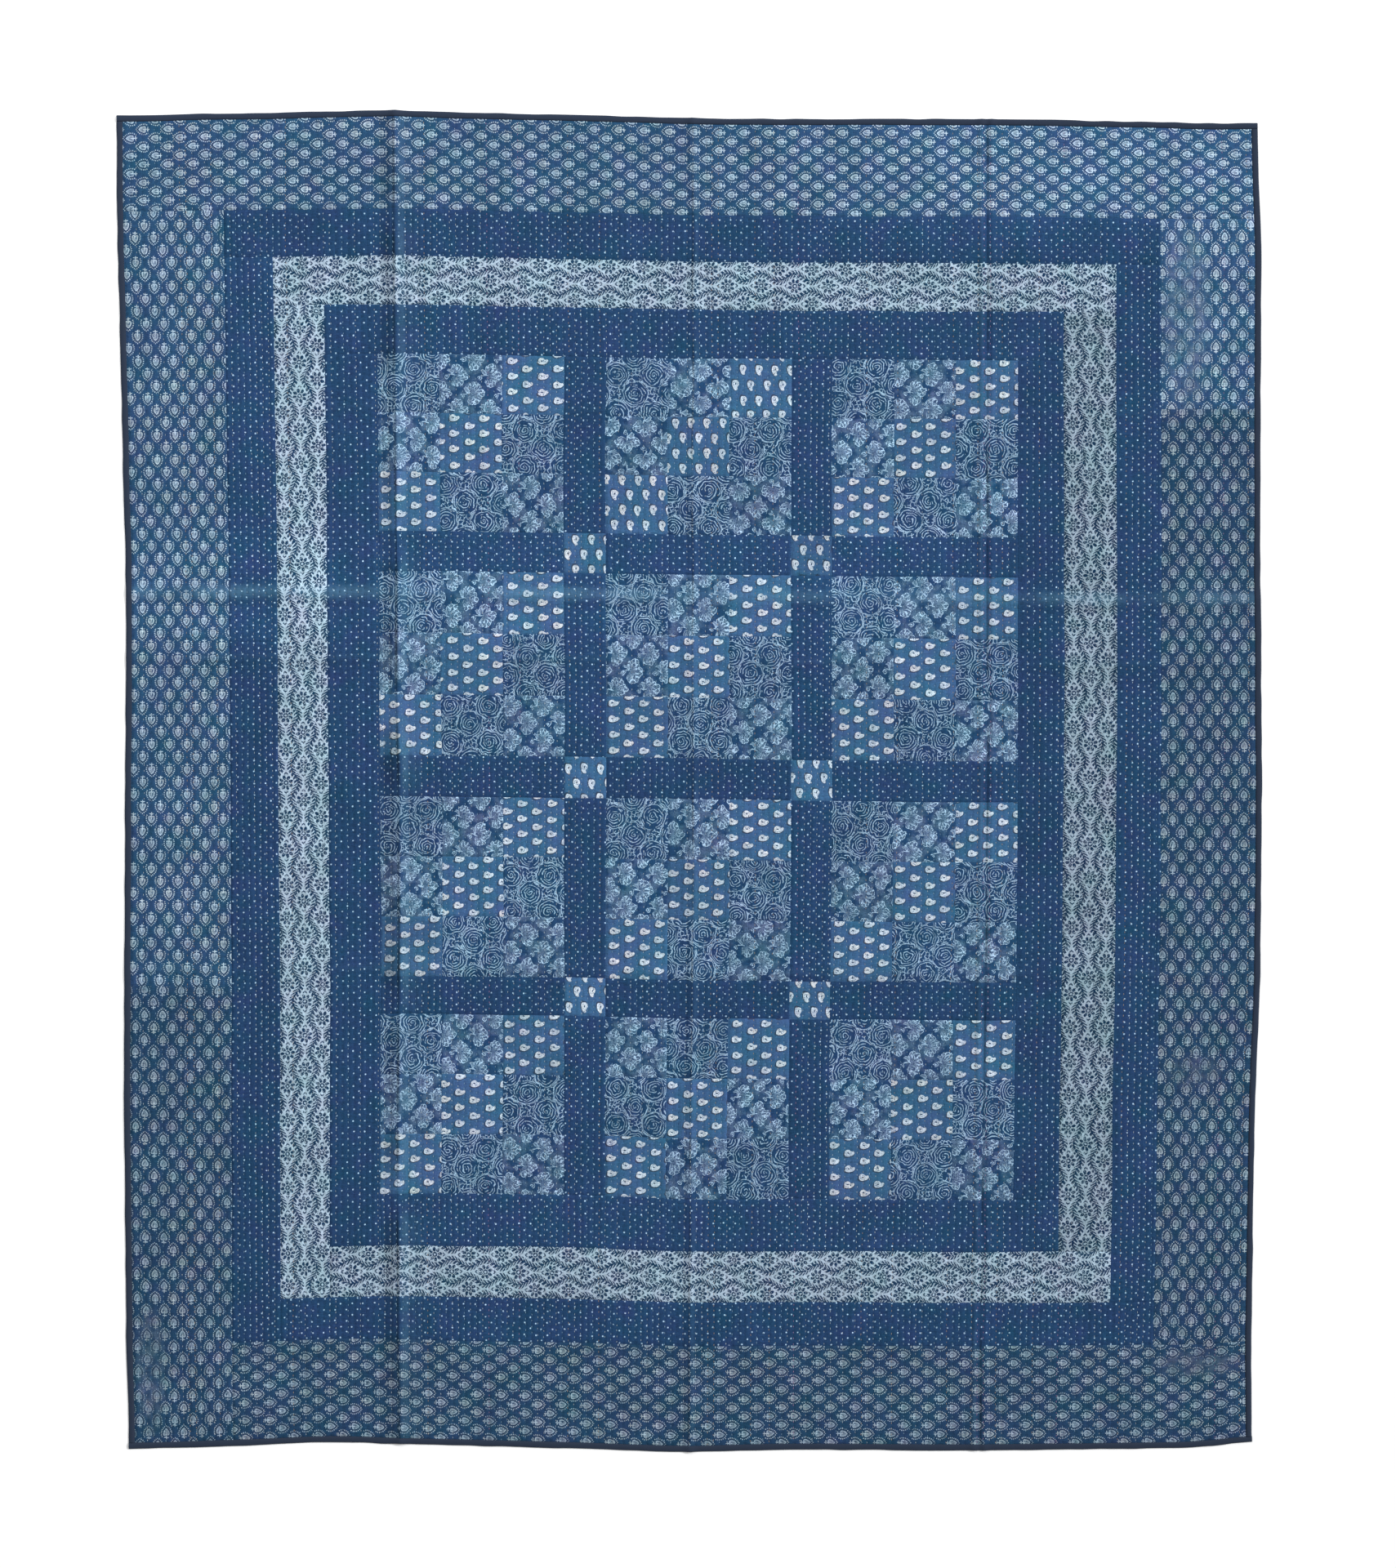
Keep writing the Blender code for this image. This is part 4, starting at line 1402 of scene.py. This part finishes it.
class BEDSPREAD_OT_cornerstones(bpy.types.Operator):
    """Sew the six cornerstones where sashes cross"""

    bl_idname = "bedspread.cornerstones"
    bl_label = "Sew the cornerstones"

    def execute(self, context):
        sew_cornerstones()
        return {"FINISHED"}


class BEDSPREAD_OT_borders(bpy.types.Operator):
    """Sew the four rounds of border strips"""

    bl_idname = "bedspread.borders"
    bl_label = "Sew the borders"

    def execute(self, context):
        sew_borders()
        return {"FINISHED"}


class BEDSPREAD_OT_binding(bpy.types.Operator):
    """Roll the dark binding over the four edges"""

    bl_idname = "bedspread.binding"
    bl_label = "Bind the edges"

    def execute(self, context):
        bind_edges()
        return {"FINISHED"}


class BEDSPREAD_OT_quilting(bpy.types.Operator):
    """Quilt all the pieces with rows of running stitch"""

    bl_idname = "bedspread.quilting"
    bl_label = "Quilt the rows"

    def execute(self, context):
        quilt()
        return {"FINISHED"}


# What the camera sees, in metres
CAMERA_HEIGHT = 8.0
VIEW_LENGTH = 3.178
VIEW_MIDDLE = (0.0174, -0.0058)
SENSOR = 36.0
FAR_CLIP = 60.0

# Where the lights are and the ways that they shine
HEAD_LIGHT_PLACE = (-0.9, 3.0, 3.6)
HEAD_LIGHT_WAY = (0.9, -3.0, -3.6)
HEAD_LIGHT_SIZE = 3.0
KEY_LIGHT_WAY = (-0.72, -0.42, -0.62)
KEY_LIGHT_SOFTNESS = 16.0
SKY_COLOUR = (0.97, 0.985, 1.0, 1.0)


class BEDSPREAD_OT_stage(bpy.types.Operator):
    """Lay the pale floor and set the soft studio light and the camera"""

    bl_idname = "bedspread.stage"
    bl_label = "Set the stage"

    def execute(self, context):
        looks = context.scene.bedspread_looks
        add_floor()
        head = add_light("head_light", "AREA", looks.head_power, HEAD_LIGHT_WAY)
        head.location = HEAD_LIGHT_PLACE
        head.data.shape = "DISK"
        head.data.size = HEAD_LIGHT_SIZE
        key = add_light("key_light", "SUN", looks.key_strength, KEY_LIGHT_WAY)
        key.data.angle = math.radians(KEY_LIGHT_SOFTNESS)
        world = bpy.data.worlds.new("studio")
        world.use_nodes = True
        background = world.node_tree.nodes["Background"]
        background.inputs["Color"].default_value = SKY_COLOUR
        background.inputs["Strength"].default_value = looks.sky_level
        context.scene.world = world
        data = bpy.data.cameras.new("camera")
        data.sensor_width = SENSOR
        data.lens = SENSOR * CAMERA_HEIGHT / VIEW_LENGTH
        data.clip_end = FAR_CLIP
        camera = bpy.data.objects.new("camera", data)
        camera.location = (*VIEW_MIDDLE, CAMERA_HEIGHT)
        context.scene.collection.objects.link(camera)
        context.scene.camera = camera
        context.scene.view_settings.view_transform = "Standard"
        return {"FINISHED"}


def add_light(name, kind, energy, way):
    """A light of some kind that shines one way."""
    data = bpy.data.lights.new(name, kind)
    data.energy = energy
    light = bpy.data.objects.new(name, data)
    light.rotation_mode = "QUATERNION"
    light.rotation_quaternion = Vector(way).to_track_quat("-Z", "Y")
    bpy.context.scene.collection.objects.link(light)
    return light


FLOOR_REACH = 30.0
FLOOR_LEVEL = -0.0005
FLOOR_PAINTS = (0.94, 0.94, 0.94, 1.0), (0.96, 0.96, 0.96, 1.0)
FLOOR_GLOW = 0.14


def add_floor():
    """A wide pale floor with a faint unevenness in its paint."""
    mesh = bpy.data.meshes.new("floor")
    corners = ((-1, -1), (1, -1), (1, 1), (-1, 1))
    places = [(x * FLOOR_REACH, y * FLOOR_REACH, FLOOR_LEVEL) for x, y in corners]
    mesh.from_pydata(places, [], [(0, 1, 2, 3)])
    material, tree, surface = new_material("floor_paint", 0.9)
    place = tree.nodes.new("ShaderNodeNewGeometry")
    noise = tree.nodes.new("ShaderNodeTexNoise")
    noise.inputs["Scale"].default_value = 1.5
    tree.links.new(place.outputs["Position"], noise.inputs["Vector"])
    paint = mixed(tree, noise.outputs["Fac"], *FLOOR_PAINTS)
    tree.links.new(paint, surface.inputs["Base Color"])
    tree.links.new(paint, surface.inputs["Emission Color"])
    surface.inputs["Emission Strength"].default_value = FLOOR_GLOW
    mesh.materials.append(material)
    floor = bpy.data.objects.new("floor", mesh)
    bpy.context.scene.collection.objects.link(floor)


OPERATORS = (
    BEDSPREAD_OT_cloths,
    BEDSPREAD_OT_patches,
    BEDSPREAD_OT_sashes,
    BEDSPREAD_OT_cornerstones,
    BEDSPREAD_OT_borders,
    BEDSPREAD_OT_binding,
    BEDSPREAD_OT_quilting,
    BEDSPREAD_OT_stage,
)


class BEDSPREAD_PT_sidebar(bpy.types.Panel):
    """Lists the bedspread's looks and the steps that make it"""

    bl_idname = "BEDSPREAD_PT_sidebar"
    bl_label = "Patchwork bedspread"
    bl_space_type = "VIEW_3D"
    bl_region_type = "UI"
    bl_category = "Bedspread"

    def draw(self, context):
        looks = context.scene.bedspread_looks
        for name in BedspreadLooks.__annotations__:
            self.layout.prop(looks, name)
        for operator in OPERATORS:
            self.layout.operator(operator.bl_idname)


CLASSES = (BedspreadLooks, *OPERATORS, BEDSPREAD_PT_sidebar)


def register():
    for cls in CLASSES:
        bpy.utils.register_class(cls)
    bpy.types.Scene.bedspread_looks = PointerProperty(type=BedspreadLooks)


def unregister():
    del bpy.types.Scene.bedspread_looks
    for cls in reversed(CLASSES):
        bpy.utils.unregister_class(cls)


def main():
    register()
    for operator in OPERATORS:
        family, name = operator.bl_idname.split(".")
        getattr(getattr(bpy.ops, family), name)()


if __name__ == "__main__":
    main()
